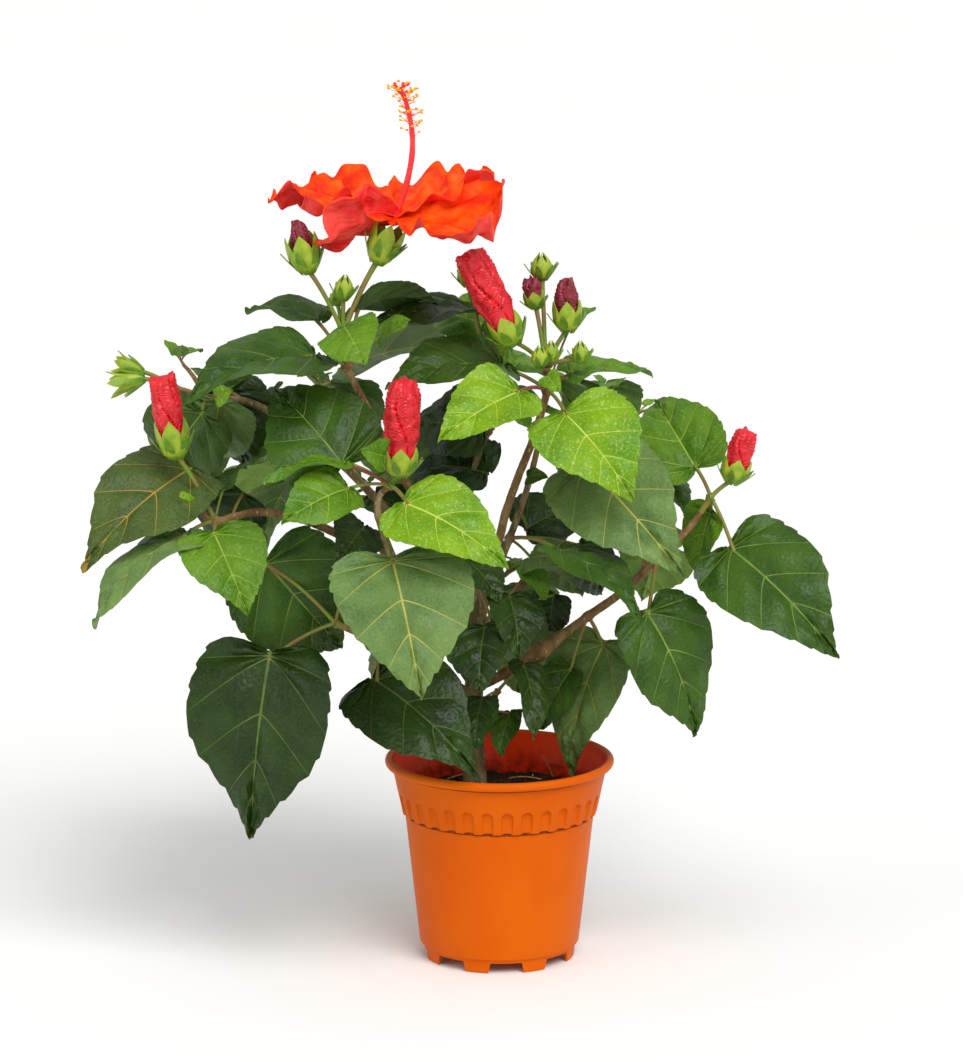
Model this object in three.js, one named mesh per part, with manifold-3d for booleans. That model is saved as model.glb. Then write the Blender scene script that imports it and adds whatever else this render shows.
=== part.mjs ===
// Potted hibiscus: an orange nursery pot with its soil, and a woody plant of ten boughs and fourteen sprays.
// Millimetres, +Z up. The origin is the centre of the pot's underside, and the plant's face looks towards -Y.
import * as THREE from 'three';
import { mergeVertices } from 'three/addons/utils/BufferGeometryUtils.js';
import Module from 'manifold-3d';

const manifold = await Module();
manifold.setup();

// Gap between pieces that touch, and how much a joined spray's faces may be evened out
const CLEAR = 0.3;
const SIMPLIFY = 0.4;

// Pot, a moulded 13 cm nursery pot
const RIM_RADIUS = 65;
const POT_HEIGHT = 116;
const LIP_HEIGHT = 5;
const LIP_ROUND = 1.2;
const COLLAR_TOP_RADIUS = 61;
const COLLAR_FOOT_RADIUS = 55.25;
const COLLAR_FOOT = 84;
const BODY_TOP_RADIUS = 53.75;
const BODY_FOOT_RADIUS = 45.35;
const RING_HEIGHT = 8;
const RING_TOP_RADIUS = 43.6;
const RING_FOOT_RADIUS = 42.85;
const WALL = 1.5;
const FLOOR_UNDERSIDE = 7;
const PAD_RADIUS = 12;
const PAD_DRAFT = 2;
const FLUTES = 32;
const FLUTE_WIDTH = 6.2;
const FLUTE_TOP = 97;
const FLUTE_DEPTH = 0.25;
const FLUTE_TURN = 4.2;
const NOTCHES = 8;
const NOTCH_WIDTH = 19;
const NOTCH_HEIGHT = 6.2;
const NOTCH_TURN = 5;
const SOIL_TOP = 93;
const SOIL_SIDES = 32;

// Trunk: axis, girth and root flare
const TRUNK_FOOT = [-14, 0];
const TRUNK_LEGS = [[135, 88, 43], [-40, 88, 43], [-150, 88.5, 43]];
const TRUNK_FOOT_RADIUS = 6.9;
const TRUNK_TOP_RADIUS = 3.7;
const FLARE = 2.6;
const FLARE_HEIGHT = 4;
const TRUNK_SIDES = 10;

// Leaf form, shared by every spray
const LEAF_THICKNESS = 0.025;
const LEAF_ARCH = 0.07;
const LEAF_FOLD = 0.14;
const LEAF_LOBE = 0.22;
const LEAF_TAPER = 0.62;
const LEAF_EDGE = [0.11, 0.33, 0.57, 0.8];
const PETIOLE_RADIUS = 1.3;
const PETIOLE_SAG = 0.12;

// Seeded growth: a range is [least, most], headings are from the twig's own
const FIRST_SEED = 901;
const GOLDEN_SECTION = 0.618;
const TWIG_SPREAD = 80;
const TWIG_START = 0.2;
const TWIG_LENGTHS = [17, 31];
const TWIG_PITCHES = [15, 50];
const TWIG_RADIUS = 1.5;
const LEAF_HEADINGS = [0, 65, -65];
const HEADING_SPREAD = [-15, 15];
const LEAF_LENGTHS = [50, 82];
const LEAF_PITCHES = [-65, -15];
const LEAF_ROLLS = [-20, 20];
const PETIOLE_LENGTHS = [12, 24];
const PETIOLE_PITCH = 10;
const LEAF_ASPECT = 0.74;
const LEAF_REACH = 5;
const LIMB_REACH = 2.5;
const POT_KEEP_OUT = 78;

// Flower
const PETAL_THICKNESS = 1.6;
const COLUMN_RADIUS = 1.6;
const COLUMN_LEGS = [[0, 68, 18], [0, 77, 18], [0, 86, 12], [180, 84, 11], [180, 76, 12], [180, 64, 7]];
const COLUMN_ROOT = 4;
const ANTHERS = 8;
const ANTHER_LENGTH = 7;
const ANTHER_PITCH = 25;
const ANTHER_TURN = 137.5;
const STIGMAS = 5;
const STIGMA_LENGTH = 6;
const STIGMA_PITCH = 38;
// A petal is [heading, pitch, roll, length, width], from the one that reaches furthest left
const PETALS = [
  [176, 10, 35, 74, 34],
  [140, 22, -20, 52, 44],
  [40, 18, 0, 66, 58],
  [-22, -8, -28, 66, 54],
  [-135, -18, 10, 58, 54],
];

// Every branch of the plant, in the order in which it grows.
// A leg is [heading, pitch, length], with heading 0 along +X and 90 along +Y. A bough's legs start on the
// trunk's axis at the height foot, and its spray's stem goes on from the bough's tip.
// A leaf is [place on the stem, petiole length, heading, pitch, blade heading, pitch, roll, length, width].
// A bud is [place on the stem, stalk length, heading, pitch, bud heading, pitch, calyx length, calyx radius,
// bud length, bud radius].
// A space is the middle and the three half-widths of the ellipsoid that the seeded twigs and leaves stay in.
const BRANCHES = [
  {
    name: 'right', foot: 157, bough: [[-18, 21, 14], [-11, 32, 19], [-5, 34, 14]], knot: 5.2,
    stem: [[-5, 38, 31], [-6, 37, 25], [-6, 45, 26], [-3, 45, 25], [-5, 56, 22]], radii: [3.3, 2.6, 1.8],
    leaves: [
      [0.2, 23, 50, -46, -156, -70, 25, 80, 54],
      [0.2, 33, 145, -71, 164, -63, 65, 42, 28],
      [0.6, 32, -109, -49, 5, -65, -60, 80, 56],
      [0.6, 19, 79, 11, 111, -49, -30, 48, 44],
      [1, 10, 84, -53, 124, -77, 85, 46, 34],
      [1, 29, -32, -67, -36, -34, -40, 92, 62],
      [1, 27, 106, 24, 117, 33, 35, 66, 48],
    ],
    buds: [[1, 14, 0, 35, 0, 75, 15, 7.5, 31, 7]],
    twigs: 6, space: [88, 66, 245, 70, 80, 62], facing: 125,
  },
  {
    name: 'centre', foot: 214, bough: [[-9, 60, 25], [-9, 75, 23], [-8, 71, 21], [0, 69, 22]],
    stem: [[-7, 74, 30], [-117, 81, 14]], radii: [2.6, 2.2, 1.8],
    leaves: [
      [0.5, 31, -73, -14, -43, -39, -30, 64, 58],
      [0.5, 39, -114, 8, -141, -20, 35, 60, 42],
      [0.5, 28, 168, 27, -154, -1, 20, 72, 48],
      [0.5, 17, 42, 27, 19, 1, -10, 52, 36],
      [0.5, 28, -91, 26, -68, -17, -40, 18, 12],
      [0.5, 38, 39, 65, 42, 25, -5, 22, 14],
    ],
    buds: [
      [1, 27, -139, 33, 180, 63, 18, 8.5, 58, 9.5],
      [1, 33, 121, 72, 180, 79, 10, 5.5, 17, 6],
      [1, 23, 5, 57, 180, 87, 18, 7.5, 30, 6.5],
      [1, 49, 97, 72, 180, 88, 15, 6.5, 17, 5],
      [1, 17, -101, 8, 180, 88, 12, 5, 13, 3.5],
      [1, 20, -9, 8, 180, 88, 12, 5, 13, 3.5],
      [1, 12, -73, 20, 180, 88, 12, 4.5, 14, 3.5],
    ],
    twigs: 3, space: [45, 55, 318, 66, 66, 46], facing: 80,
  },
  {
    name: 'mid_right', foot: 206, bough: [[18, 50, 16], [16, 63, 16]],
    stem: [[23, 67, 20], [0, 72, 23], [-18, 76, 27]], radii: [2.4, 2.2, 1.6],
    leaves: [
      [1, 30, -35, -23, -41, -35, -45, 90, 62],
      [0.15, 54, -61, 4, -41, -23, 5, 68, 44],
      [0.4, 24, 80, -35, 39, 12, -35, 48, 36],
      [0.15, 40, 10, -6, 53, -55, -105, 42, 30],
      [0.15, 16, -32, -37, -47, 7, -35, 38, 28],
      [1, 11, -142, 54, -141, 14, 65, 12, 9],
      [0.7, 12, -100, 10, -41, 9, -60, 14, 10],
    ],
    buds: [], twigs: 2, space: [60, 55, 270, 62, 64, 55], facing: 40,
  },
  {
    name: 'top_left', foot: 216, bough: [[-158, 55, 33], [-163, 58, 40], [-163, 63, 37]],
    stem: [[-173, 64, 37], [-135, 82, 19]], radii: [2.6, 2.1, 1.7],
    leaves: [
      [0.5, 23, -139, 21, -151, -8, 15, 82, 60],
      [0.5, 35, -91, 47, -67, -24, -30, 32, 34],
      [0.5, 32, 133, 46, 149, 4, 5, 50, 32],
      [0.5, 33, 77, 61, 37, 5, 35, 56, 34],
      [0.5, 26, -24, 41, -41, 31, -50, 26, 16],
      [0.5, 32, 88, -8, 35, 4, 45, 74, 50],
    ],
    buds: [
      [1, 39, -168, 61, 180, 77, 22, 8.5, 30, 5.5],
      [1, 19, -87, 84, 0, 84, 14, 5.5, 17, 3.5],
      [1, 17, 114, 59, 0, 88, 9, 4.5, 11, 3],
      [1, 43, 6, 64, 0, 69, 24, 8.5, 27, 6],
    ],
    flower: 3,
    twigs: 3, space: [-90, 55, 320, 75, 70, 46], facing: 120,
  },
  {
    name: 'front', foot: 178, bough: [[-130, 39, 43], [-132, 44, 42], [-130, 61, 32]],
    stem: [[-135, 84, 14], [-9, 53, 10]], radii: [2.6, 2.1, 1.7],
    leaves: [
      [1, 27, -144, 3, -142, -17, 35, 46, 34],
      [1, 22, -100, 56, -128, 19, 90, 18, 18],
      [1, 28, -73, -9, -30, -22, -35, 70, 50],
      [0.12, 37, -76, -27, -69, -59, -10, 80, 74],
      [1, 27, 171, 22, 143, 38, 40, 64, 62],
      [1, 28, -161, 28, -152, -3, 0, 50, 20],
    ],
    buds: [[1, 9, -32, 36, 0, 88, 17, 8.5, 54, 9.5]],
    twigs: 1, space: [-45, -45, 300, 45, 35, 45], facing: 60,
  },
  {
    name: 'left', foot: 190, bough: [[-157, 38, 52], [-164, 34, 54], [-167, 18, 38]],
    stem: [[-172, -8, 28], [-174, 41, 12]], radii: [2.7, 2.2, 1.7],
    leaves: [
      [0.5, 34, 130, 52, -142, -30, 30, 88, 58],
      [0.5, 19, -141, -14, -141, -28, 0, 78, 46],
      [0.5, 22, -89, -5, -58, -48, -20, 52, 46],
      [0.5, 18, 73, 53, 68, 23, 25, 30, 26],
      [0.3, 24, 75, 25, 150, -62, 95, 46, 42],
      [0.5, 15, -163, 25, -120, 52, 130, 14, 12],
    ],
    buds: [[0.5, 42, -163, 60, 180, 80, 22, 8.5, 46, 8]],
    twigs: 3, space: [-150, 25, 255, 70, 66, 55], facing: 120,
  },
  {
    name: 'upper_left', foot: 204, bough: [[163, 45, 59], [170, 44, 63], [178, 33, 45]],
    stem: [[-178, 10, 29], [-171, 18, 19]], radii: [2.7, 2.1, 1.6],
    leaves: [
      [0.5, 15, -94, -23, 140, -49, 110, 58, 50],
      [0.5, 9, -28, -6, 108, -58, 155, 50, 44],
      [0.12, 12, 162, 36, 77, -57, -155, 60, 46],
      [0.5, 12, -60, 6, -49, 24, -90, 16, 12],
    ],
    buds: [
      [1, 18, -170, 18, 180, -12, 20, 5.5, 25, 3.5],
      [1, 20, 170, 24, 180, 19, 17, 5, 21, 3.5],
    ],
    twigs: 3, space: [-140, 70, 290, 75, 72, 55], facing: 100,
  },
  {
    name: 'back_top', foot: 212, bough: [[94, 56, 29], [96, 69, 28]],
    stem: [[27, 77, 40], [76, 82, 29]], radii: [2.4, 2, 1.6],
    leaves: [
      [1, 35, 180, 86, -152, 1, 5, 72, 40],
      [1, 28, 90, 69, 142, 6, 35, 44, 34],
      [0.5, 6, -72, 11, 144, -6, 55, 56, 44],
      [0.12, 11, -29, 21, 144, -2, 35, 60, 44],
      [1, 28, -43, 42, 129, -7, 70, 40, 34],
    ],
    buds: [[1, 55, -125, 72, 180, 80, 15, 5.5, 19, 4]],
    twigs: 18, space: [-15, 100, 290, 95, 90, 70], facing: 90,
  },
  {
    name: 'low_left', foot: 150, bough: [],
    stem: [[-142, 34, 39], [-153, 30, 36], [-166, 26, 27]], radii: [2.8, 2.8, 1.8],
    leaves: [
      [1, 40, -158, -18, -168, -83, 65, 108, 78],
      [1, 54, -171, 43, 35, -48, -105, 82, 68],
      [0.667, 22, -104, -55, -33, -29, -35, 84, 62],
      [1, 57, 20, 72, -112, -20, 35, 36, 30],
    ],
    buds: [], twigs: 3, space: [-100, 25, 200, 70, 62, 52], facing: 140,
  },
  {
    name: 'low_centre', foot: 165, bough: [],
    stem: [[-69, 53, 21], [-53, 54, 17], [-16, 66, 18]], radii: [2.4, 2.4, 1.6],
    leaves: [
      [0.667, 24, -49, 56, -74, -51, 10, 38, 32],
      [0.667, 13, -112, 13, -95, -48, -20, 40, 40],
      [0.667, 44, 35, 18, 97, -64, 140, 28, 26],
      [0.667, 38, 31, 53, -56, -36, -5, 22, 16],
      [0.667, 42, 180, 68, -50, -29, -15, 36, 30],
    ],
    buds: [], twigs: 0, space: [0, -30, 190, 30, 30, 40], facing: -90,
  },
  {
    name: 'foot', foot: 128, bough: [], stem: [[-63, 50, 21], [-37, 54, 17]], radii: [2.2, 2.2, 1.5],
    leaves: [
      [1, 12, -138, -9, -105, -55, -15, 30, 24],
      [1, 22, -16, 48, -75, -54, 25, 46, 24],
      [0.5, 15, 8, 0, -105, -46, -20, 28, 20],
    ],
    buds: [], twigs: 0, space: [0, -30, 150, 30, 30, 30], facing: -90,
  },
  {
    name: 'back_left', foot: 172, bough: [[132, 36, 56], [146, 36, 53]], stem: [[146, 41, 40], [115, 50, 34]],
    radii: [2.7, 2.2, 1.6],
    leaves: [], buds: [], twigs: 26, space: [-100, 100, 235, 115, 105, 100], facing: 115,
  },
  {
    name: 'back_right', foot: 186, bough: [[43, 32, 52], [43, 39, 42]], stem: [[52, 47, 37], [66, 44, 36]],
    radii: [2.7, 2.2, 1.6],
    leaves: [], buds: [], twigs: 30, space: [58, 95, 240, 78, 105, 95], facing: 65,
  },
  {
    name: 'back_low', foot: 145, bough: [], stem: [[84, 40, 44], [75, 62, 36]], radii: [2.6, 2.6, 1.6],
    leaves: [], buds: [], twigs: 22, space: [-12, 100, 185, 100, 95, 80], facing: 90,
  },
];

// Seeded numbers from 0 to 1
function makeRandom(seed) {
  let state = seed >>> 0;
  return () => {
    state = (Math.imul(state, 1664525) + 1013904223) >>> 0;
    return state / 4294967296;
  };
}

function between([least, most], random) {
  return least + (most - least) * random();
}

function direction(heading, pitch) {
  const h = THREE.MathUtils.degToRad(heading);
  const p = THREE.MathUtils.degToRad(pitch);
  return new THREE.Vector3(Math.cos(p) * Math.cos(h), Math.cos(p) * Math.sin(h), Math.sin(p));
}

// Corner points of a chain of legs
function walk(start, legs) {
  const points = [start.clone()];
  for (const [heading, pitch, length] of legs) {
    points.push(points.at(-1).clone().addScaledVector(direction(heading, pitch), length));
  }
  return points;
}

function smoothCurve(points) {
  return new THREE.CatmullRomCurve3(points, false, 'catmullrom', 0.5);
}

function samplePath(curve, from, to, steps) {
  const points = [];
  for (let i = 0; i <= steps; i++) points.push(curve.getPoint(from + (to - from) * i / steps));
  return points;
}

// Closed body through equal rings of points, first ring to last, rings anticlockwise about the way they run
function loft(rings) {
  const sides = rings[0].length;
  const positions = rings.flat().flatMap((p) => [p.x, p.y, p.z]);
  const index = [];
  for (let i = 0; i + 1 < rings.length; i++) {
    for (let j = 0; j < sides; j++) {
      const a = i * sides + j;
      const b = i * sides + (j + 1) % sides;
      index.push(a, b, b + sides, a, b + sides, a + sides);
    }
  }
  const last = (rings.length - 1) * sides;
  for (let j = 1; j + 1 < sides; j++) {
    index.push(0, j + 1, j);
    index.push(last, last + j, last + j + 1);
  }
  const geometry = new THREE.BufferGeometry();
  geometry.setAttribute('position', new THREE.Float32BufferAttribute(positions, 3));
  geometry.setIndex(index);
  return geometry;
}

// Round body along a path, its radius a function of the fraction along it. first and last turn its end rings.
function tube(path, radius, sides, { first, last } = {}) {
  const rings = [];
  let across = null;
  for (let i = 0; i < path.length; i++) {
    const before = path[Math.max(0, i - 1)];
    const after = path[Math.min(path.length - 1, i + 1)];
    let tangent = after.clone().sub(before).normalize();
    if (first && i === 0) tangent = first;
    if (last && i === path.length - 1) tangent = last;
    if (!across) across = new THREE.Vector3(...(Math.abs(tangent.z) < 0.9 ? [0, 0, 1] : [1, 0, 0]));
    across = across.clone().addScaledVector(tangent, -across.dot(tangent)).normalize();
    const up = tangent.clone().cross(across);
    const r = radius(i / (path.length - 1));
    const ring = [];
    for (let j = 0; j < sides; j++) {
      const angle = 2 * Math.PI * j / sides;
      const out = across.clone().multiplyScalar(Math.cos(angle)).addScaledVector(up, Math.sin(angle));
      ring.push(path[i].clone().addScaledVector(out, r));
    }
    rings.push(ring);
  }
  return loft(rings);
}

// A closed mesh as a solid for joining and cutting, and back
function toSolid(geometry) {
  const bare = geometry.clone();
  bare.deleteAttribute('normal');
  bare.deleteAttribute('uv');
  const merged = mergeVertices(bare, 1e-4);
  const vertProperties = new Float32Array(merged.attributes.position.array);
  const triVerts = new Uint32Array(merged.index.array);
  return new manifold.Manifold(new manifold.Mesh({ numProp: 3, vertProperties, triVerts }));
}

function toGeometry(solid) {
  const { vertProperties, triVerts } = solid.getMesh();
  const geometry = new THREE.BufferGeometry();
  geometry.setAttribute('position', new THREE.BufferAttribute(new Float32Array(vertProperties), 3));
  geometry.setIndex(new THREE.BufferAttribute(new Uint32Array(triVerts), 1));
  return geometry;
}

// The largest body of a solid: loose scraps go, and so does the skin of a sealed hollow
function mainBody(solid) {
  const bodies = solid.decompose().sort((a, b) => b.volume() - a.volume());
  return bodies[0];
}

// Pot

function bodyRadius(z) {
  const share = (z - RING_HEIGHT) / (COLLAR_FOOT - RING_HEIGHT);
  return BODY_FOOT_RADIUS + (BODY_TOP_RADIUS - BODY_FOOT_RADIUS) * share;
}

function potProfile() {
  const lipFoot = POT_HEIGHT - LIP_HEIGHT;
  const floorTop = FLOOR_UNDERSIDE + WALL;
  const throat = FLUTE_TOP + 3;
  const outline = [
    [0, 0],
    [PAD_RADIUS, 0],
    [PAD_RADIUS + PAD_DRAFT, FLOOR_UNDERSIDE],
    [RING_FOOT_RADIUS - WALL, FLOOR_UNDERSIDE],
    [RING_FOOT_RADIUS - WALL, 0],
    [RING_FOOT_RADIUS, 0],
    [RING_TOP_RADIUS, RING_HEIGHT],
    [BODY_FOOT_RADIUS, RING_HEIGHT],
    [BODY_TOP_RADIUS, COLLAR_FOOT],
    [COLLAR_FOOT_RADIUS, COLLAR_FOOT],
    [COLLAR_TOP_RADIUS, lipFoot],
    [RIM_RADIUS - LIP_ROUND / 2, lipFoot],
    [RIM_RADIUS, lipFoot + LIP_HEIGHT / 2],
    [RIM_RADIUS - LIP_ROUND, POT_HEIGHT],
    [COLLAR_TOP_RADIUS, POT_HEIGHT - LIP_ROUND / 2],
    [COLLAR_TOP_RADIUS - WALL, lipFoot],
    [bodyRadius(throat) - WALL, throat],
    [bodyRadius(floorTop) - WALL, floorTop],
    [0, floorTop],
  ];
  return outline.map(([r, z]) => new THREE.Vector2(r, z));
}

// One arched groove of the collar, standing in front of the pot at the angle given
function fluteCutter(angle) {
  const half = FLUTE_WIDTH / 2;
  const arch = new THREE.Shape();
  arch.moveTo(-half, COLLAR_FOOT - 1);
  arch.lineTo(half, COLLAR_FOOT - 1);
  arch.lineTo(half, FLUTE_TOP - half);
  arch.absarc(0, FLUTE_TOP - half, half, 0, Math.PI, false);
  arch.lineTo(-half, COLLAR_FOOT - 1);
  const geometry = new THREE.ExtrudeGeometry(arch, { depth: 12, bevelEnabled: false, curveSegments: 2 });
  const lean = Math.atan2(BODY_TOP_RADIUS - BODY_FOOT_RADIUS, COLLAR_FOOT - RING_HEIGHT);
  geometry.rotateX(Math.PI / 2);
  geometry.translate(0, -bodyRadius(COLLAR_FOOT) - FLUTE_DEPTH, -COLLAR_FOOT);
  geometry.rotateX(lean);
  geometry.translate(0, 0, COLLAR_FOOT);
  geometry.rotateZ(angle);
  return geometry;
}

function notchCutter(angle) {
  const geometry = new THREE.BoxGeometry(NOTCH_WIDTH, 10, NOTCH_HEIGHT + 1);
  geometry.translate(0, -RING_FOOT_RADIUS + 1, (NOTCH_HEIGHT - 1) / 2);
  geometry.rotateZ(angle);
  return geometry;
}

function makePot() {
  const facet = Math.PI / FLUTES;
  const body = new THREE.LatheGeometry(potProfile(), FLUTES).rotateX(Math.PI / 2);
  const pot = toSolid(body.rotateZ(THREE.MathUtils.degToRad(FLUTE_TURN) + facet));
  const cutters = [];
  for (let i = 0; i < FLUTES; i++) {
    cutters.push(toSolid(fluteCutter(THREE.MathUtils.degToRad(FLUTE_TURN + 360 * i / FLUTES))));
  }
  for (let i = 0; i < NOTCHES; i++) {
    cutters.push(toSolid(notchCutter(THREE.MathUtils.degToRad(NOTCH_TURN + 360 * i / NOTCHES))));
  }
  return toGeometry(mainBody(pot.subtract(manifold.Manifold.union(cutters))));
}

function makeSoil() {
  const floor = FLOOR_UNDERSIDE + WALL + CLEAR;
  const inset = WALL + CLEAR + 0.2;
  const outline = [
    new THREE.Vector2(0, floor), new THREE.Vector2(bodyRadius(floor) - inset, floor),
    new THREE.Vector2(bodyRadius(SOIL_TOP) - inset, SOIL_TOP), new THREE.Vector2(0, SOIL_TOP),
  ];
  return mergeVertices(bareLathe(outline), 1e-4);
}

function bareLathe(outline) {
  const geometry = new THREE.LatheGeometry(outline, SOIL_SIDES).rotateX(Math.PI / 2);
  geometry.deleteAttribute('normal');
  geometry.deleteAttribute('uv');
  return geometry;
}

// Limbs

const trunkCurve = smoothCurve(walk(new THREE.Vector3(...TRUNK_FOOT, SOIL_TOP + CLEAR), TRUNK_LEGS));

// The trunk's path, with rings close together where the root flare spreads, in level sections
function trunkPath() {
  const path = samplePath(trunkCurve, 0, 1, 10);
  path.splice(1, 0, trunkCurve.getPoint(0.018), trunkCurve.getPoint(0.04));
  return path;
}

function trunkTube(extra, sides) {
  const path = trunkPath();
  const foot = path[0].z;
  const height = path.at(-1).z - foot;
  return loft(path.map((centre) => {
    const rise = centre.z - foot;
    const taper = (TRUNK_TOP_RADIUS - TRUNK_FOOT_RADIUS) * rise / height;
    const radius = TRUNK_FOOT_RADIUS + taper + FLARE * Math.exp(-rise / FLARE_HEIGHT) + extra;
    return Array.from({ length: sides }, (_, j) => {
      const angle = 2 * Math.PI * j / sides;
      return centre.clone().add(new THREE.Vector3(radius * Math.cos(angle), radius * Math.sin(angle), 0));
    });
  }));
}

function trunkAxisAt(z) {
  const foot = trunkCurve.getPoint(0).z;
  const top = trunkCurve.getPoint(1).z;
  return trunkCurve.getPoint((z - foot) / (top - foot));
}

// One branch's whole axis: its bough's legs, then its stem's
function branchCurve(branch) {
  return smoothCurve(walk(trunkAxisAt(branch.foot), [...branch.bough, ...branch.stem]));
}

function joint(branch) {
  return branch.bough.length / (branch.bough.length + branch.stem.length);
}

function makeBough(branch, trunkShell) {
  const [atFoot, atJoint] = branch.radii;
  const curve = branchCurve(branch);
  const path = samplePath(curve, 0, joint(branch), 2 * branch.bough.length + 1);
  const swelling = branch.knot ? branch.knot - atJoint : 0;
  const radius = (s) => atFoot + (atJoint - atFoot) * s + swelling * Math.exp(-(((s - 0.93) / 0.16) ** 2));
  const body = tube(path, radius, 7, { last: curve.getTangent(joint(branch)) });
  return toGeometry(mainBody(toSolid(body).subtract(trunkShell)));
}

// Leaves

// Unit vectors of a blade: along it, out of its upper face, and to its left
function bladeAxes(heading, pitch, roll) {
  const along = direction(heading, pitch);
  const upright = direction(heading, pitch + 90);
  const aside = upright.clone().cross(along);
  const r = THREE.MathUtils.degToRad(roll);
  const out = upright.multiplyScalar(Math.cos(r)).addScaledVector(aside, Math.sin(r));
  return { along, out, left: out.clone().cross(along) };
}

// A point of the blade, u along its length from 0 to 1 and x to the left in millimetres
function bladePoint(leaf, u, x) {
  const height = LEAF_ARCH * leaf.length * 4 * u * (1 - u) + LEAF_FOLD * Math.abs(x);
  return leaf.base.clone()
    .addScaledVector(leaf.axes.along, u * leaf.length)
    .addScaledVector(leaf.axes.left, x)
    .addScaledVector(leaf.axes.out, height);
}

// The leaf's edge: t from 0 at the petiole to 1 at the tip gives u, and x as a fraction of the width
function leafEdge(t) {
  const turn = Math.PI * t;
  const u = ((1 - Math.cos(turn)) / 2) ** 1.3 - LEAF_LOBE * Math.sin(turn) * (1 - t) ** 2;
  return [u, 0.58 * Math.sin(turn) * (1 - LEAF_TAPER * t * t)];
}

function petalEdge(t) {
  const turn = Math.PI * t;
  return [(1 - Math.cos(turn)) / 2, 0.5 * Math.sin(turn) ** 0.8 * (0.35 + 0.9 * t)];
}

// Lens-shaped blade: thick along the midrib, thin at its edge, its two faces meeting all round
function bladeSolid(leaf, edge, thickness) {
  const columns = LEAF_EDGE.length;
  const points = [];
  const down = leaf.axes.out.clone().multiplyScalar(-thickness);
  for (let i = 0; i < columns; i++) points.push(bladePoint(leaf, i / columns, 0));
  for (let i = 0; i < columns; i++) points.push(points[i].clone().add(down));
  for (const side of [1, -1]) {
    for (const t of LEAF_EDGE) {
      const [u, x] = edge(t);
      points.push(bladePoint(leaf, u, side * x * leaf.width).addScaledVector(down, 0.5));
    }
  }
  points.push(bladePoint(leaf, 1, 0));
  const tip = 4 * columns;
  const index = [];
  const face = (a, b, c, flip) => index.push(...(flip ? [a, c, b] : [a, b, c]));
  for (const [first, flipSide] of [[2 * columns, false], [3 * columns, true]]) {
    for (const [rib, flipFace] of [[0, false], [columns, true]]) {
      const flip = flipSide !== flipFace;
      for (let i = 0; i + 1 < columns; i++) {
        face(rib + i, first + i + 1, first + i, flip);
        face(rib + i, rib + i + 1, first + i + 1, flip);
      }
      face(rib + columns - 1, tip, first + columns - 1, flip);
    }
    face(0, first, columns, flipSide);
  }
  const geometry = new THREE.BufferGeometry();
  const positions = points.flatMap((p) => [p.x, p.y, p.z]);
  geometry.setAttribute('position', new THREE.Float32BufferAttribute(positions, 3));
  geometry.setIndex(index);
  return geometry;
}

// An arched stalk from one point to another, carried on into what it joins there
function stalkPath(from, to, into, steps) {
  const end = to.clone().add(into);
  const rise = PETIOLE_SAG * from.distanceTo(to);
  const middle = from.clone().lerp(end, 0.5).add(new THREE.Vector3(0, 0, rise));
  return new THREE.QuadraticBezierCurve3(from, middle, end).getPoints(steps);
}

function growLeaf(from, petiole, petioleHeading, petiolePitch, heading, pitch, roll, length, width) {
  const base = from.clone().addScaledVector(direction(petioleHeading, petiolePitch), petiole);
  return { from, base, axes: bladeAxes(heading, pitch, roll), length, width };
}

function leafSolids(leaf) {
  const thickness = LEAF_THICKNESS * leaf.length;
  const into = leaf.axes.along.clone().multiplyScalar(0.1 * leaf.length).addScaledVector(leaf.axes.out, -0.3);
  const path = stalkPath(leaf.from, leaf.base, into, 2);
  const radius = Math.min(PETIOLE_RADIUS, 0.4 + leaf.length / 60);
  return [toSolid(bladeSolid(leaf, leafEdge, thickness)), toSolid(tube(path, () => radius, 3))];
}

// Buds and flower

// Calyx and petals of a bud as one spindle: [share of its length, share of its radius]
const CALYX_STATIONS = [[0, 0.5], [0.4, 1], [1, 0.8]];
const BUD_STATIONS = [[0.4, 1], [0.82, 0.75], [1, 0.3]];

function budSolid(bud) {
  const stations = CALYX_STATIONS.map(([along, girth]) => [along * bud.calyx, girth * bud.calyxRadius]);
  const rest = bud.length - bud.calyx;
  for (const [along, girth] of BUD_STATIONS) stations.push([bud.calyx + along * rest, girth * bud.radius]);
  const path = stations.map(([along]) => bud.base.clone().addScaledVector(bud.axis, along));
  return toSolid(tube(path, (s) => stations[Math.round(s * (stations.length - 1))][1], 6));
}

function growBud(from, row) {
  const [, stalk, stalkHeading, stalkPitch, heading, pitch, calyx, calyxRadius, length, radius] = row;
  const base = from.clone().addScaledVector(direction(stalkHeading, stalkPitch), stalk);
  return { from, base, axis: direction(heading, pitch), calyx, calyxRadius, length, radius };
}

function budSolids(bud) {
  const path = stalkPath(bud.from, bud.base, bud.axis.clone().multiplyScalar(2), 2);
  return [budSolid(bud), toSolid(tube(path, () => PETIOLE_RADIUS, 3))];
}

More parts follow.
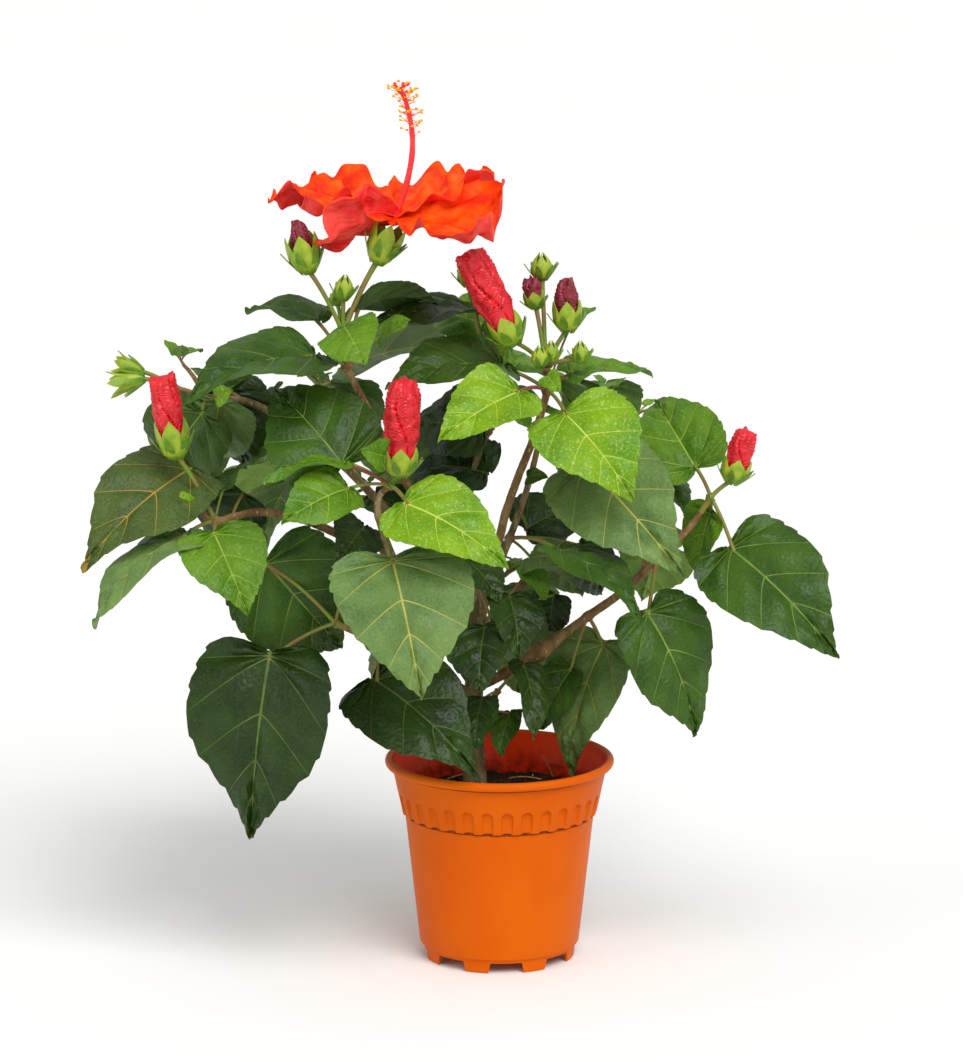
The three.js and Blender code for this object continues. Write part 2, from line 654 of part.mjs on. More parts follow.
function flowerSolids(bud) {
  const heart = bud.base.clone().addScaledVector(bud.axis, bud.length);
  const solids = PETALS.map(([heading, pitch, roll, length, width]) => {
    const axes = bladeAxes(heading, pitch, roll);
    const base = heart.clone().addScaledVector(axes.along, -3);
    return toSolid(bladeSolid({ base, axes, length, width }, petalEdge, PETAL_THICKNESS));
  });
  const column = smoothCurve(walk(heart.clone().addScaledVector(bud.axis, -COLUMN_ROOT), COLUMN_LEGS));
  const path = samplePath(column, 0, 1, 7);
  solids.push(toSolid(tube(path, (s) => COLUMN_RADIUS * (1 - 0.35 * s), 5)));
  for (let i = 0; i < ANTHERS; i++) {
    const root = column.getPoint(0.55 + 0.42 * i / ANTHERS);
    const tip = root.clone().addScaledVector(direction(ANTHER_TURN * i, ANTHER_PITCH), ANTHER_LENGTH);
    const girths = [0.6, 0.9, 0.5];
    solids.push(toSolid(tube([root, root.clone().lerp(tip, 0.7), tip], (s) => girths[Math.round(2 * s)], 3)));
  }
  for (let i = 0; i < STIGMAS; i++) {
    const root = column.getPoint(0.96);
    const tip = root.clone().addScaledVector(direction(360 * i / STIGMAS, STIGMA_PITCH), STIGMA_LENGTH);
    solids.push(toSolid(tube([root, tip], () => 0.9, 3)));
  }
  return solids;
}

// Seeded growth: probes are balls that stand for what has grown, so that a new leaf is kept clear of them

function leafProbes(leaf, owner) {
  const probes = [];
  for (const t of [0.12, 0.3, 0.48, 0.66, 0.84]) {
    const [u, half] = leafEdge(t);
    for (const share of [-1, -0.5, 0, 0.5, 1]) {
      const at = bladePoint(leaf, u, share * half * leaf.width);
      probes.push({ at, reach: LEAF_REACH, owner, blade: true });
    }
  }
  probes.push({ at: bladePoint(leaf, 1, 0), reach: LEAF_REACH, owner, blade: true });
  return probes;
}

function limbProbes(path, radius, owner) {
  const probes = [];
  for (let i = 0; i + 1 < path.length; i++) {
    const steps = Math.ceil(path[i].distanceTo(path[i + 1]) / 6);
    for (let k = 0; k < steps; k++) {
      const at = path[i].clone().lerp(path[i + 1], k / steps);
      probes.push({ at, reach: radius + LIMB_REACH, owner, blade: false });
    }
  }
  return probes;
}

function wholeLeafProbes(leaf, owner) {
  return [...leafProbes(leaf, owner), ...limbProbes([leaf.from, leaf.base], PETIOLE_RADIUS, owner)];
}

// Whether new probes stay in the branch's space, off the pot and clear of all that has grown
function fits(probes, branch, grown) {
  const [cx, cy, cz, rx, ry, rz] = branch.space;
  for (const { at, reach, blade } of probes) {
    if (((at.x - cx) / rx) ** 2 + ((at.y - cy) / ry) ** 2 + ((at.z - cz) / rz) ** 2 > 1) return false;
    if (at.z < POT_HEIGHT + 10 && Math.hypot(at.x, at.y) < POT_KEEP_OUT) return false;
    for (const other of grown) {
      if (other.owner === branch.name && !(blade && other.blade)) continue;
      if (at.distanceTo(other.at) < reach + other.reach) return false;
    }
  }
  return true;
}

// A twig's leaves, one ahead from its tip and then one to either side
function twigLeaves(path, heading, random) {
  return LEAF_HEADINGS.map((turn, k) => {
    const aside = heading + turn + between(HEADING_SPREAD, random);
    const length = between(LEAF_LENGTHS, random);
    const pitch = between(LEAF_PITCHES, random);
    const petiole = between(PETIOLE_LENGTHS, random);
    const roll = between(LEAF_ROLLS, random);
    const width = LEAF_ASPECT * length;
    return growLeaf(path.at(-1 - k), petiole, aside, PETIOLE_PITCH, aside, pitch, roll, length, width);
  });
}

// Twigs spaced along the stem, each with its leaves, where they fit
function growTwigs(branch, seed, grown) {
  const random = makeRandom(seed);
  const curve = branchCurve(branch);
  const start = joint(branch);
  const twigs = [];
  const leaves = [];
  for (let i = 0; i < branch.twigs; i++) {
    const share = TWIG_START + (1 - TWIG_START) * (i + random()) / branch.twigs;
    const heading = branch.facing + TWIG_SPREAD * (2 * ((GOLDEN_SECTION * i) % 1) - 1);
    const length = between(TWIG_LENGTHS, random);
    const pitch = between(TWIG_PITCHES, random);
    const from = curve.getPoint(start + (1 - start) * share);
    const tip = from.clone().addScaledVector(direction(heading, pitch), length);
    const path = stalkPath(from, tip, new THREE.Vector3(), 3);
    const own = twigLeaves(path, heading, random);
    const twigProbes = limbProbes(path, TWIG_RADIUS, branch.name).slice(2);
    if (!fits(twigProbes, branch, grown)) continue;
    const kept = [];
    for (const leaf of own) {
      const probes = wholeLeafProbes(leaf, branch.name);
      if (!fits(probes, branch, grown)) continue;
      grown.push(...probes);
      kept.push(leaf);
    }
    if (kept.length === 0) continue;
    grown.push(...twigProbes);
    twigs.push(path);
    leaves.push(...kept);
  }
  return { twigs, leaves };
}

// The branch's own leaves and buds, then its seeded twigs, as lists of what is to be built
function growBranches() {
  const grown = limbProbes(trunkPath(), TRUNK_FOOT_RADIUS, 'trunk');
  const plants = BRANCHES.map((branch) => {
    const curve = branchCurve(branch);
    const start = joint(branch);
    const at = (place) => curve.getPoint(start + (1 - start) * place);
    const leaves = branch.leaves.map(([place, ...row]) => growLeaf(at(place), ...row));
    const buds = branch.buds.map((row) => growBud(at(row[0]), row));
    return { branch, leaves, buds };
  });
  for (const { branch, leaves, buds } of plants) {
    const whole = samplePath(branchCurve(branch), 0.1, 1, 24);
    grown.push(...limbProbes(whole, branch.radii[0], branch.name));
    for (const leaf of leaves) grown.push(...wholeLeafProbes(leaf, branch.name));
    for (const bud of buds) {
      const tip = bud.base.clone().addScaledVector(bud.axis, bud.length);
      grown.push(...limbProbes([bud.from, bud.base], PETIOLE_RADIUS, branch.name));
      grown.push(...limbProbes([bud.base, tip], bud.calyxRadius, branch.name));
    }
  }
  return plants.map((plant, i) => ({ ...plant, seeded: growTwigs(plant.branch, FIRST_SEED + i, grown) }));
}

// One spray: its stem with all that grows on it, 0.3 mm clear of the bough's tip or the trunk
function makeSpray(plant, trunkShell) {
  const { branch, leaves, buds, seeded } = plant;
  const curve = branchCurve(branch);
  const start = joint(branch);
  const path = samplePath(curve, start, 1, 2 * branch.stem.length);
  const [, atJoint, atTip] = branch.radii;
  const ahead = curve.getTangent(start);
  if (branch.bough.length > 0) path[0].addScaledVector(ahead, CLEAR);
  let stem = toSolid(tube(path, (s) => atJoint + (atTip - atJoint) * s, 6, { first: ahead }));
  if (branch.bough.length === 0) stem = mainBody(stem.subtract(trunkShell));
  const solids = [stem];
  for (const leaf of [...leaves, ...seeded.leaves]) solids.push(...leafSolids(leaf));
  for (const bud of buds) solids.push(...budSolids(bud));
  for (const twig of seeded.twigs) solids.push(toSolid(tube(twig, (s) => TWIG_RADIUS * (1 - 0.25 * s), 3)));
  if (branch.flower !== undefined) solids.push(...flowerSolids(buds[branch.flower]));
  return toGeometry(mainBody(manifold.Manifold.union(solids).simplify(SIMPLIFY)));
}

// Scene graph

const plasticOrange = new THREE.MeshStandardMaterial({ color: 0xe8690f, roughness: 0.42 });
const darkSoil = new THREE.MeshStandardMaterial({ color: 0x2a1d15, roughness: 0.95 });
const bark = new THREE.MeshStandardMaterial({ color: 0x7d6a4f, roughness: 0.85 });
const foliage = new THREE.MeshStandardMaterial({ color: 0x3e7a32, roughness: 0.5, side: THREE.DoubleSide });

const plant = new THREE.Group();

function addPiece(name, geometry, material) {
  const mesh = new THREE.Mesh(geometry, material);
  mesh.name = name;
  plant.add(mesh);
}

const trunkShell = toSolid(trunkTube(CLEAR, TRUNK_SIDES));

addPiece('pot', makePot(), plasticOrange);
addPiece('potting_soil', makeSoil(), darkSoil);
addPiece('trunk', trunkTube(0, TRUNK_SIDES), bark);
for (const grown of growBranches()) {
  const { name, bough } = grown.branch;
  if (bough.length > 0) addPiece(`bough_${name}`, makeBough(grown.branch, trunkShell), bark);
  addPiece(`spray_${name}`, makeSpray(grown, trunkShell), foliage);
}

export default plant;
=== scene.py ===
"""Potted hibiscus: fine shapes and finishes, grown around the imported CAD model.

Lengths are millimetres and angles degrees, as in the part's source, until a mesh is made in metres.
Heading 0 is +X and 90 is +Y. The photograph looks along +Y at the side that faces -Y.
"""

import logging
import math
import sys
from collections.abc import Sequence
from dataclasses import dataclass, field
from enum import Enum
from typing import NamedTuple

import bpy
import numpy as np
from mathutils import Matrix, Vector, noise

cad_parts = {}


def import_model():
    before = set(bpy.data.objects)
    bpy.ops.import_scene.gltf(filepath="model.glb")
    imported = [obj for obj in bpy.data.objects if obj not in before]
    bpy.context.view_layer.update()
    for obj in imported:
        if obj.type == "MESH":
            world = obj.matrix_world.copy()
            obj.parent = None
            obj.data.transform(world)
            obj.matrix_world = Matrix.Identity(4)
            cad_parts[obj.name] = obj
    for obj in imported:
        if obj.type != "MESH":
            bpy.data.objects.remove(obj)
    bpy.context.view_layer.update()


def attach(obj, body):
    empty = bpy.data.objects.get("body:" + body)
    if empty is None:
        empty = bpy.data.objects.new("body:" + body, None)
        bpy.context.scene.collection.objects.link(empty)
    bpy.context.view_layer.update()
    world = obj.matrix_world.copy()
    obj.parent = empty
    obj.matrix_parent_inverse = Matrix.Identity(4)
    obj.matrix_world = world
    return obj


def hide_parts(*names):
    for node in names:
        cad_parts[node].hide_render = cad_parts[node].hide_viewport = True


log = logging.getLogger("hibiscus")

MM = 0.001
TURN = 2 * math.pi
# An axis that runs this far along a coordinate's takes another one to find what lies across it
STEEP = 0.9
BODY = "root"
GOLDEN_ANGLE = 137.5

Array = np.ndarray
Pair = tuple[float, float]
Triple = tuple[float, float, float]
Outline = tuple[Pair, ...]
Tree = bpy.types.NodeTree
Socket = bpy.types.NodeSocket
Sockets = bpy.types.bpy_prop_collection
Layers = list[tuple[Socket, str]]
Piece = bpy.types.Object


# Nodes and colours


def linear(colour: str) -> tuple[float, ...]:
    """Turns an sRGB hex colour such as #E8690F into linear red, green, blue and alpha."""
    parts = [int(colour[i : i + 2], 16) / 255 for i in (1, 3, 5)]
    return (*(c / 12.92 if c <= 0.04045 else ((c + 0.055) / 1.055) ** 2.4 for c in parts), 1.0)


def add_node(tree: Tree, kind: str, inputs: dict | None = None, **settings: object) -> Sockets:
    """Adds a node with its settings, and fills or links its sockets.

    Args:
        tree: where it goes.
        kind: its type's name.
        inputs: a value, or a socket to link from, for each input by name or number.
        settings: its own properties.

    Returns:
        The new node's outputs.
    """
    node = tree.nodes.new(kind)
    for name, value in settings.items():
        setattr(node, name, value)
    for socket, value in (inputs or {}).items():
        if isinstance(value, Socket):
            tree.links.new(value, node.inputs[socket])
        else:
            node.inputs[socket].default_value = value
    return node.outputs


@dataclass(frozen=True)
class Coat:
    """What details are drawn with: the material's tree, and the sockets of place and fine grain."""

    tree: Tree
    place: Socket
    grain: Socket


@dataclass(frozen=True)
class Finish:
    """A surface of two close colours in soft patches, with a fine relief."""

    name: str
    colour: str
    patch_colour: str
    patch_mm: float
    grain_mm: float
    relief_mm: float
    roughness: Pair
    ior: float = 1.45
    stretch: Triple = (1.0, 1.0, 1.0)
    specular: float = 0.5
    patch_edges: Pair = (0.35, 0.65)

    def material(self) -> bpy.types.Material:
        """Makes the material, or returns the one made before.

        Returns:
            The finished material.
        """
        if self.name in bpy.data.materials:
            return bpy.data.materials[self.name]
        material = bpy.data.materials.new(self.name)
        material.use_nodes = True
        tree = material.node_tree
        tree.nodes.clear()
        place = add_node(tree, "ShaderNodeTexCoord")["Object"]
        place = add_node(tree, "ShaderNodeMapping", {"Vector": place, "Scale": self.stretch})[0]
        blots = {"Vector": place, "Scale": 1 / (self.patch_mm * MM), "Detail": 3}
        patches = add_node(tree, "ShaderNodeTexNoise", blots)[0]
        grit = {"Vector": place, "Scale": 1 / (self.grain_mm * MM), "Detail": 4}
        grain = add_node(tree, "ShaderNodeTexNoise", grit)[0]
        low, high = self.patch_edges
        share = add_node(tree, "ShaderNodeMapRange", {0: patches, 1: low, 2: high})[0]
        layers, height = self.detail(Coat(tree, place, grain))
        colour = linear(self.colour)
        for share, tint in [(share, self.patch_colour), *layers]:
            mixed = {0: share, 6: colour, 7: linear(tint)}
            colour = add_node(tree, "ShaderNodeMix", mixed, data_type="RGBA")[2]
        spread = {"Value": patches, "To Min": self.roughness[0], "To Max": self.roughness[1]}
        rough = add_node(tree, "ShaderNodeMapRange", spread)[0]
        relief = {"Height": height, "Distance": self.relief_mm * MM, "Strength": 1.0}
        bump = add_node(tree, "ShaderNodeBump", relief)[0]
        surface = {
            "Base Color": colour,
            "Roughness": rough,
            "Normal": bump,
            "IOR": self.ior,
            "Specular IOR Level": self.specular,
        }
        shader = add_node(tree, "ShaderNodeBsdfPrincipled", surface)[0]
        add_node(tree, "ShaderNodeOutputMaterial", {"Surface": shader})
        return material

    def detail(self, coat: Coat) -> tuple[Layers, Socket]:
        """Layers of share and colour over the patches, and the height. Richer finishes replace it."""
        return [], coat.grain


@dataclass(frozen=True)
class LeafFinish(Finish):
    """A blade's face: a net of small veins around puffed cells."""

    net_colour: str = "#A9B848"
    net_mm: float = 3.8
    net_width: float = 0.055
    net_share: float = 0.3
    cell_rise: float = 0.42
    grain_share: float = 0.22
    # How far the furrows are darkened as painted shade
    furrow_share: float = 0.45
    speck_colour: str = "#D8D68C"
    speck_mm: float = 1.5
    speck_share: float = 0.0
    speck_edges: Pair = (0.58, 0.64)

    def detail(self, coat: Coat) -> tuple[Layers, Socket]:
        """Darkens the furrows as painted shade, draws the net and cream specks over them, and sinks the net
        in the height.

        Args:
            coat: the tree and what it holds so far.

        Returns:
            The layers of share and colour, and the height.
        """
        tree = coat.tree
        cells = {"Vector": coat.place, "Scale": 1 / (self.net_mm * MM), "Randomness": 0.9}
        edge = add_node(tree, "ShaderNodeTexVoronoi", cells, feature="DISTANCE_TO_EDGE")["Distance"]
        swell = {"Value": edge, "From Max": self.cell_rise}
        puff = add_node(tree, "ShaderNodeMapRange", swell, interpolation_type="SMOOTHSTEP")[0]
        relief = {0: coat.grain, 1: self.grain_share, 2: puff}
        height = add_node(tree, "ShaderNodeMath", relief, operation="MULTIPLY_ADD")[0]
        dots = {"Vector": coat.place, "Scale": 1 / (self.speck_mm * MM), "Detail": 5}
        dots = add_node(tree, "ShaderNodeTexNoise", dots)[0]
        # Painted shade: the colour darkens towards the base colour where the puffed cells dip to the net
        furrow_shade = {"Value": puff, "To Min": self.furrow_share, "To Max": 0.0}
        line = {"Value": edge, "From Max": self.net_width, "To Min": self.net_share, "To Max": 0.0}
        low, high = self.speck_edges
        speck = {"Value": dots, "From Min": low, "From Max": high, "To Max": self.speck_share}
        tints = ((furrow_shade, self.colour), (line, self.net_colour), (speck, self.speck_colour))
        return [(add_node(tree, "ShaderNodeMapRange", spread)[0], tint) for spread, tint in tints], height


@dataclass(frozen=True)
class BarkFinish(Finish):
    """Thin bark with pale warts, its grain drawn out along the limb."""

    wart_colour: str = "#B7A88C"
    wart_mm: float = 3.2
    wart_edges: Pair = (0.1, 0.28)
    wart_share: float = 0.75
    wart_height: float = 0.5

    def detail(self, coat: Coat) -> tuple[Layers, Socket]:
        """Sets small pale warts on the bark.

        Args:
            coat: the tree and what it holds so far.

        Returns:
            The layers of share and colour, and the height.
        """
        spots = {"Vector": coat.place, "Scale": 1 / (self.wart_mm * MM), "Randomness": 1.0}
        centre = add_node(coat.tree, "ShaderNodeTexVoronoi", spots, feature="F1")["Distance"]
        low, high = self.wart_edges
        dot = {"Value": centre, "From Min": low, "From Max": high, "To Min": self.wart_share, "To Max": 0.0}
        share = add_node(coat.tree, "ShaderNodeMapRange", dot)[0]
        raised = {0: share, 1: self.wart_height, 2: coat.grain}
        height = add_node(coat.tree, "ShaderNodeMath", raised, operation="MULTIPLY_ADD")[0]
        return [(share, self.wart_colour)], height


@dataclass(frozen=True)
class StainedPlastic(Finish):
    """Moulded plastic with splashes of compost that thin out between two heights."""

    soil_colour: str = "#2E1208"
    soil_mm: float = 5.0
    soil_heights: Pair = (91.0, 108.0)

    def detail(self, coat: Coat) -> tuple[Layers, Socket]:
        """Stains the wall just above the compost.

        Args:
            coat: the tree and what it holds so far.

        Returns:
            The layers of share and colour, and the height.
        """
        height = add_node(coat.tree, "ShaderNodeSeparateXYZ", {0: coat.place})[2]
        low, high = self.soil_heights
        slope = {"Value": height, "From Min": low * MM, "From Max": high * MM, "To Min": 1.0, "To Max": 0.0}
        near = add_node(coat.tree, "ShaderNodeMapRange", slope)[0]
        splash = {"Vector": coat.place, "Scale": 1 / (self.soil_mm * MM), "Detail": 5}
        splash = add_node(coat.tree, "ShaderNodeTexNoise", splash)[0]
        low, high = self.patch_edges
        blots = add_node(coat.tree, "ShaderNodeMapRange", {0: splash, 1: low, 2: high})[0]
        share = add_node(coat.tree, "ShaderNodeMath", {0: near, 1: blots}, operation="MULTIPLY")[0]
        return [(share, self.soil_colour)], coat.grain


class LeafTone(Enum):
    """How old and how well a leaf is, which sets its colours."""

    YOUNG = "young"
    FRESH = "fresh"
    MATURE = "mature"
    DARK = "dark"
    DUSTY = "dusty"
    AGED = "aged"


class BudKind(Enum):
    """How far a bud has opened."""

    GREEN = "green"
    OPEN = "open"
    DARK = "dark"
    RED = "red"
    FLOWER = "flower"


# Short names, for the rows of tables
T = LeafTone
K = BudKind


def leaf_finishes(
    tone: LeafTone, upper: str, vein: str, under: str, speck: float, rough: Pair
) -> tuple[Finish, Finish, Finish]:
    """Sets up a leaf's waxy upper face, its smoother, yellower veins and its matt, paler underside.

    Args:
        tone: the leaf's tone.
        upper: the face's colour, its lighter patches' and its small veins'.
        vein: the veins' two colours.
        under: the underside's two colours.
        speck: how strongly cream specks show.
        rough: the face's least and most roughness.

    Returns:
        The three finishes.
    """
    *face, net = upper.split()
    back = under.split()
    looks = {"specular": 0.3, "net_colour": net, "speck_share": speck}
    return (
        LeafFinish(f"waxy_leaf_{tone.value}", *face, 22, 1.3, 0.2, rough, 1.46, **looks),
        Finish(f"fleshy_vein_{tone.value}", *vein.split(), 9, 1.2, 0.1, (0.45, 0.6), 1.42, specular=0.25),
        LeafFinish(
            f"matt_underleaf_{tone.value}", *back, 18, 1.6, 0.2, (0.6, 0.75), 1.4,
            specular=0.2, net_colour=back[1], net_share=0.4,
        ),
    )


# New leaves are yellow-green and shine softly, old ones are dark with a soft gloss, and dusty or aged ones
# are greyer with veins that turn orange.
LEAF_FINISHES: dict[LeafTone, tuple[Finish, ...]] = {
    tone: leaf_finishes(tone, *looks)
    for tone, *looks in (
        (T.YOUNG, "#548606 #84AC0C #ACC03A", "#C2CE60 #AABC40", "#8FAE4A #A3BA60", 0.3, (0.4, 0.54)),
        (T.FRESH, "#406E08 #648C12 #88A030", "#A2B448 #8AA036", "#6E9140 #82A254", 0.1, (0.4, 0.54)),
        (T.MATURE, "#244408 #406412 #647C28", "#7E9242 #64792E", "#597A36 #6E8A4A", 0.0, (0.37, 0.5)),
        (T.DARK, "#152B04 #2A460C #485A1E", "#627438 #4A5E24", "#4C6630 #607A44", 0.02, (0.34, 0.46)),
        (T.DUSTY, "#4C6C34 #728E4A #92A25A", "#BDB04C #A8A44C", "#718A5E #869A70", 0.04, (0.42, 0.58)),
        (T.AGED, "#30481A #4E6426 #8A8034", "#B08838 #9A8638", "#5E7440 #748850", 0.05, (0.4, 0.54)),
    )
}

# Grey-brown bark, thin and matt, with pale warts and lengthwise cracks
WOODY_BARK = BarkFinish(
    "thin_grey_bark", "#5E4E30", "#8E7E58", 5, 0.9, 0.6, (0.7, 0.9), 1.4, (1, 1, 0.35), specular=0.3,
    wart_colour="#C2B08A", wart_mm=1.9,
)
# Reddish bark of younger boughs, smoother, drawn in the same way
RUDDY_BARK = BarkFinish(
    "thin_ruddy_bark", "#614426", "#8C7048", 6, 1.0, 0.35, (0.6, 0.8), 1.4, (1, 1, 0.4), specular=0.3,
    wart_colour="#B29A6E", wart_mm=2.2,
)
# Green rind of this year's shoots, with a soft shine
GREEN_RIND = Finish("smooth_green_rind", "#6E8A2C", "#8A6A38", 12, 1.4, 0.12, (0.4, 0.55), 1.42)
# Reddish rind of leaf stalks that the sun has reached
RUDDY_RIND = Finish("smooth_ruddy_rind", "#7C5A34", "#8A3E2C", 12, 1.4, 0.12, (0.4, 0.55), 1.42)
# Fleshy sepals, yellow-green and finely ribbed
SEPAL = Finish("fleshy_sepal", "#7C9C22", "#A4B42E", 6, 1.0, 0.15, (0.4, 0.55), 1.43)
# Darker, harder bracts below the sepals
BRACT = Finish("fleshy_bract", "#55801C", "#759A2A", 5, 1.0, 0.12, (0.42, 0.55), 1.43)
# Rolled petals of a closed bud: silky, crumpled, crimson with paler ridges
ROLLED_PETAL = Finish("silky_rolled_petal", "#C20A16", "#E02430", 5, 0.8, 0.12, (0.26, 0.38), 1.45)
# Tips of buds that have just begun to show colour, dull wine red
WINE_PETAL = Finish("silky_wine_petal", "#6A1420", "#8E2A3A", 4, 0.8, 0.12, (0.36, 0.5), 1.42)
# Open petals: thin, silky, orange-red on their upper face
OPEN_PETAL = Finish("silky_open_petal", "#E42A06", "#FF5E0A", 11, 1.0, 0.14, (0.42, 0.56), 1.4, specular=0.2)
# Their outer face is cooler and redder
PETAL_BACK = Finish("silky_petal_back", "#DC1A1C", "#F44A40", 8, 1.0, 0.14, (0.42, 0.58), 1.4, specular=0.3)
# Waxy red column, filaments and stigmas
RED_COLUMN = Finish("waxy_red_column", "#E5202C", "#F04038", 4, 1.0, 0.08, (0.35, 0.5), 1.42)
# Mealy yellow pollen on the anthers
POLLEN = Finish("mealy_pollen", "#F0A400", "#FFC21C", 1.5, 0.4, 0.15, (0.75, 0.9), 1.4)
# Polypropylene, injection-moulded: an even satin orange with a slight grain
ORANGE_PLASTIC = Finish(
    "moulded_orange_polypropylene", "#CC5600", "#D46000", 60, 0.9, 0.03, (0.38, 0.48), 1.49, specular=0.08
)
# The same plastic inside the rim, where compost has splashed it; its colour is painted light, brighter and
# redder than the outside to stand in for light coming through the wall
STAINED_GLOW_PLASTIC = StainedPlastic(
    "stained_orange_polypropylene", "#F83400", "#FF4600", 60, 0.9, 0.03, (0.4, 0.55), 1.49, specular=0.2
)
# Painted shade: dull brown where shadow falls, in the corner under the collar's skirt and under the lip
PAINTED_SHADE_PLASTIC = Finish(
    "dusty_orange_polypropylene", "#5E2404", "#943E06", 3, 0.6, 0.06, (0.65, 0.85), 1.45, specular=0.1
)
# Damp peat compost: nearly black, crumbly, with fibres
COMPOST = Finish("damp_peat_compost", "#1D120B", "#38251A", 4, 1.2, 0.8, (0.8, 0.95), 1.35)
# Bark and fibre crumbs that lie on it, browner
CRUMB = Finish("coarse_compost_crumb", "#2C1B10", "#5A3E28", 5, 0.8, 0.4, (0.75, 0.95), 1.35)
# Dry straw, pale and slightly shiny
STRAW = Finish("dry_straw", "#C8A468", "#A8824A", 4, 0.6, 0.1, (0.5, 0.65), 1.4)
# Expanded mineral grains, chalky white
PERLITE = Finish("chalky_perlite", "#CFC6B4", "#E6E0D2", 2, 0.5, 0.2, (0.8, 0.95), 1.4)
# Painted studio floor, pale and matt
STUDIO_FLOOR = Finish("matt_studio_floor", "#F4F4F2", "#F6F6F4", 400, 6, 0.02, (0.85, 0.9), 1.4)


# Meshes


def grid_faces(rows: int, columns: int, around: bool = False) -> Array:
    """Quads of a grid of points, facing the side where columns cross rows from right to left.

    Args:
        rows: how many rows there are.
        columns: how many points a row has.
        around: whether the last column joins the first.

    Returns:
        Each quad's point numbers.
    """
    i, j = np.meshgrid(np.arange(rows - 1), np.arange(columns if around else columns - 1), indexing="ij")
    here = i * columns + j
    beside = i * columns + (j + 1) % columns
    return np.stack([here, beside, beside + columns, here + columns], axis=-1).reshape(-1, 4)


@dataclass
class Shape:
    """Points in millimetres and faces of one piece, gathered part by part."""

    points: list[Array] = field(default_factory=list)
    faces: list[list[int]] = field(default_factory=list)
    slots: list[int] = field(default_factory=list)
    count: int = 0

    def add(self, points: Array, *blocks: tuple[Array, int | Array]) -> None:
        """Adds one part.

        Args:
            points: its points, with the coordinate last.
            blocks: faces as numbers of its own points, each block with one slot or a slot for each face.
        """
        for faces, slots in blocks:
            self.faces.extend((faces + self.count).tolist())
            self.slots.extend(np.broadcast_to(slots, len(faces)).tolist())
        self.points.append(points.reshape(-1, 3))
        self.count += len(self.points[-1])

    def add_rings(self, rings: Array, slots: int | Array = 0) -> None:
        """Adds a closed body through rings of points, anticlockwise about the way they run.

        Args:
            rings: an array of ring, point and coordinate.
            slots: the material slot, one number or one for each gap between rings.
        """
        count, sides, _ = rings.shape
        each = np.broadcast_to(slots, count - 1)
        middles = np.stack([rings[0].mean(axis=0), rings[-1].mean(axis=0)])
        j = np.arange(sides)
        beside = (j + 1) % sides
        last = (count - 1) * sides
        foot = np.stack([np.full(sides, count * sides), beside, j], axis=-1)
        head = np.stack([np.full(sides, count * sides + 1), last + j, last + beside], axis=-1)
        walls = grid_faces(count, sides, around=True)
        points = np.concatenate([rings.reshape(-1, 3), middles])
        self.add(points, (walls, np.repeat(each, sides)), (foot, each[0]), (head, each[-1]))

    def to_object(self, name: str, finishes: Sequence[Finish], crease: float = 60) -> Piece:
        """Makes the piece's object.

        Args:
            name: its name.
            finishes: the finish of each material slot.
            crease: faces that meet at more than this angle keep a sharp edge.

        Returns:
            The object.
        """
        mesh = bpy.data.meshes.new(name)
        mesh.from_pydata((np.concatenate(self.points) * MM).tolist(), [], self.faces)
        for finish in finishes:
            mesh.materials.append(finish.material())
        mesh.polygons.foreach_set("material_index", self.slots)
        mesh.shade_smooth()
        mesh.set_sharp_from_angle(angle=math.radians(crease))
        mesh.update()
        return link_object(name, mesh)


def link_object(name: str, data: bpy.types.ID) -> Piece:
    """Puts an object into the scene, at the origin.

    Args:
        name: its name.
        data: its mesh, lamp or camera.

    Returns:
        The object.
    """
    piece = bpy.data.objects.new(name, data)
    bpy.context.scene.collection.objects.link(piece)
    return piece


def keep_result(piece: Piece) -> None:
    """Turns what a piece's modifiers make into its plain mesh, and removes them.

    Args:
        piece: the piece.
    """
    graph = bpy.context.evaluated_depsgraph_get()
    made = bpy.data.meshes.new_from_object(piece.evaluated_get(graph), depsgraph=graph)
    piece.modifiers.clear()
    before, piece.data = piece.data, made
    bpy.data.meshes.remove(before)
    made.name = piece.name


def settle(piece: Piece, slot: str, *nodes: str) -> None:
    """Lets a finished piece ride on the plant's body, and reports it.

    Args:
        piece: the piece.
        slot: the record's material slot; not used.
        nodes: the CAD nodes that it stands for.
    """
    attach(piece, BODY)
    if nodes:
        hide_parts(*nodes)
    triangles = sum(len(face.vertices) - 2 for face in piece.data.polygons)
    log.info("%s: %d triangles", piece.name, triangles)


def shell_faces(rows: int, columns: int) -> tuple[Array, Array]:
    """Faces of a thin closed blade: an upper grid of points, then a lower one of the same size.

    Columns run from left to right, as seen from above. Both grids' quads split along the same diagonal, so
    that a thin wall never crosses itself.

    Args:
        rows: how many rows a grid has.
        columns: how many points a row has.

    Returns:
        The quads, and each one's row, column and side (0 upper, 1 lower, 2 edge).
    """
    size = rows * columns
    upper = grid_faces(rows, columns)
    row, column = np.divmod(np.arange(len(upper)), columns - 1)
    blocks = [(upper, row, column, 0), (upper[:, [0, 3, 2, 1]] + size, row, column, 1)]
    ids, down = np.arange(size).reshape(rows, columns), np.arange(rows - 1)
    sides = [(ids[:-1, 0], ids[1:, 0], down), (ids[1:, -1], ids[:-1, -1], down)]
    sides += [(ids[0, 1:], ids[0, :-1], 0), (ids[-1, :-1], ids[-1, 1:], 0)]
    for start, end, at in sides:
        blocks.append((np.stack([start, end, end + size, start + size], axis=-1), at, -1, 2))
    places = [np.column_stack([np.full(len(block), part) for part in place]) for block, *place in blocks]
    return np.concatenate([block for block, *_ in blocks]), np.concatenate(places)


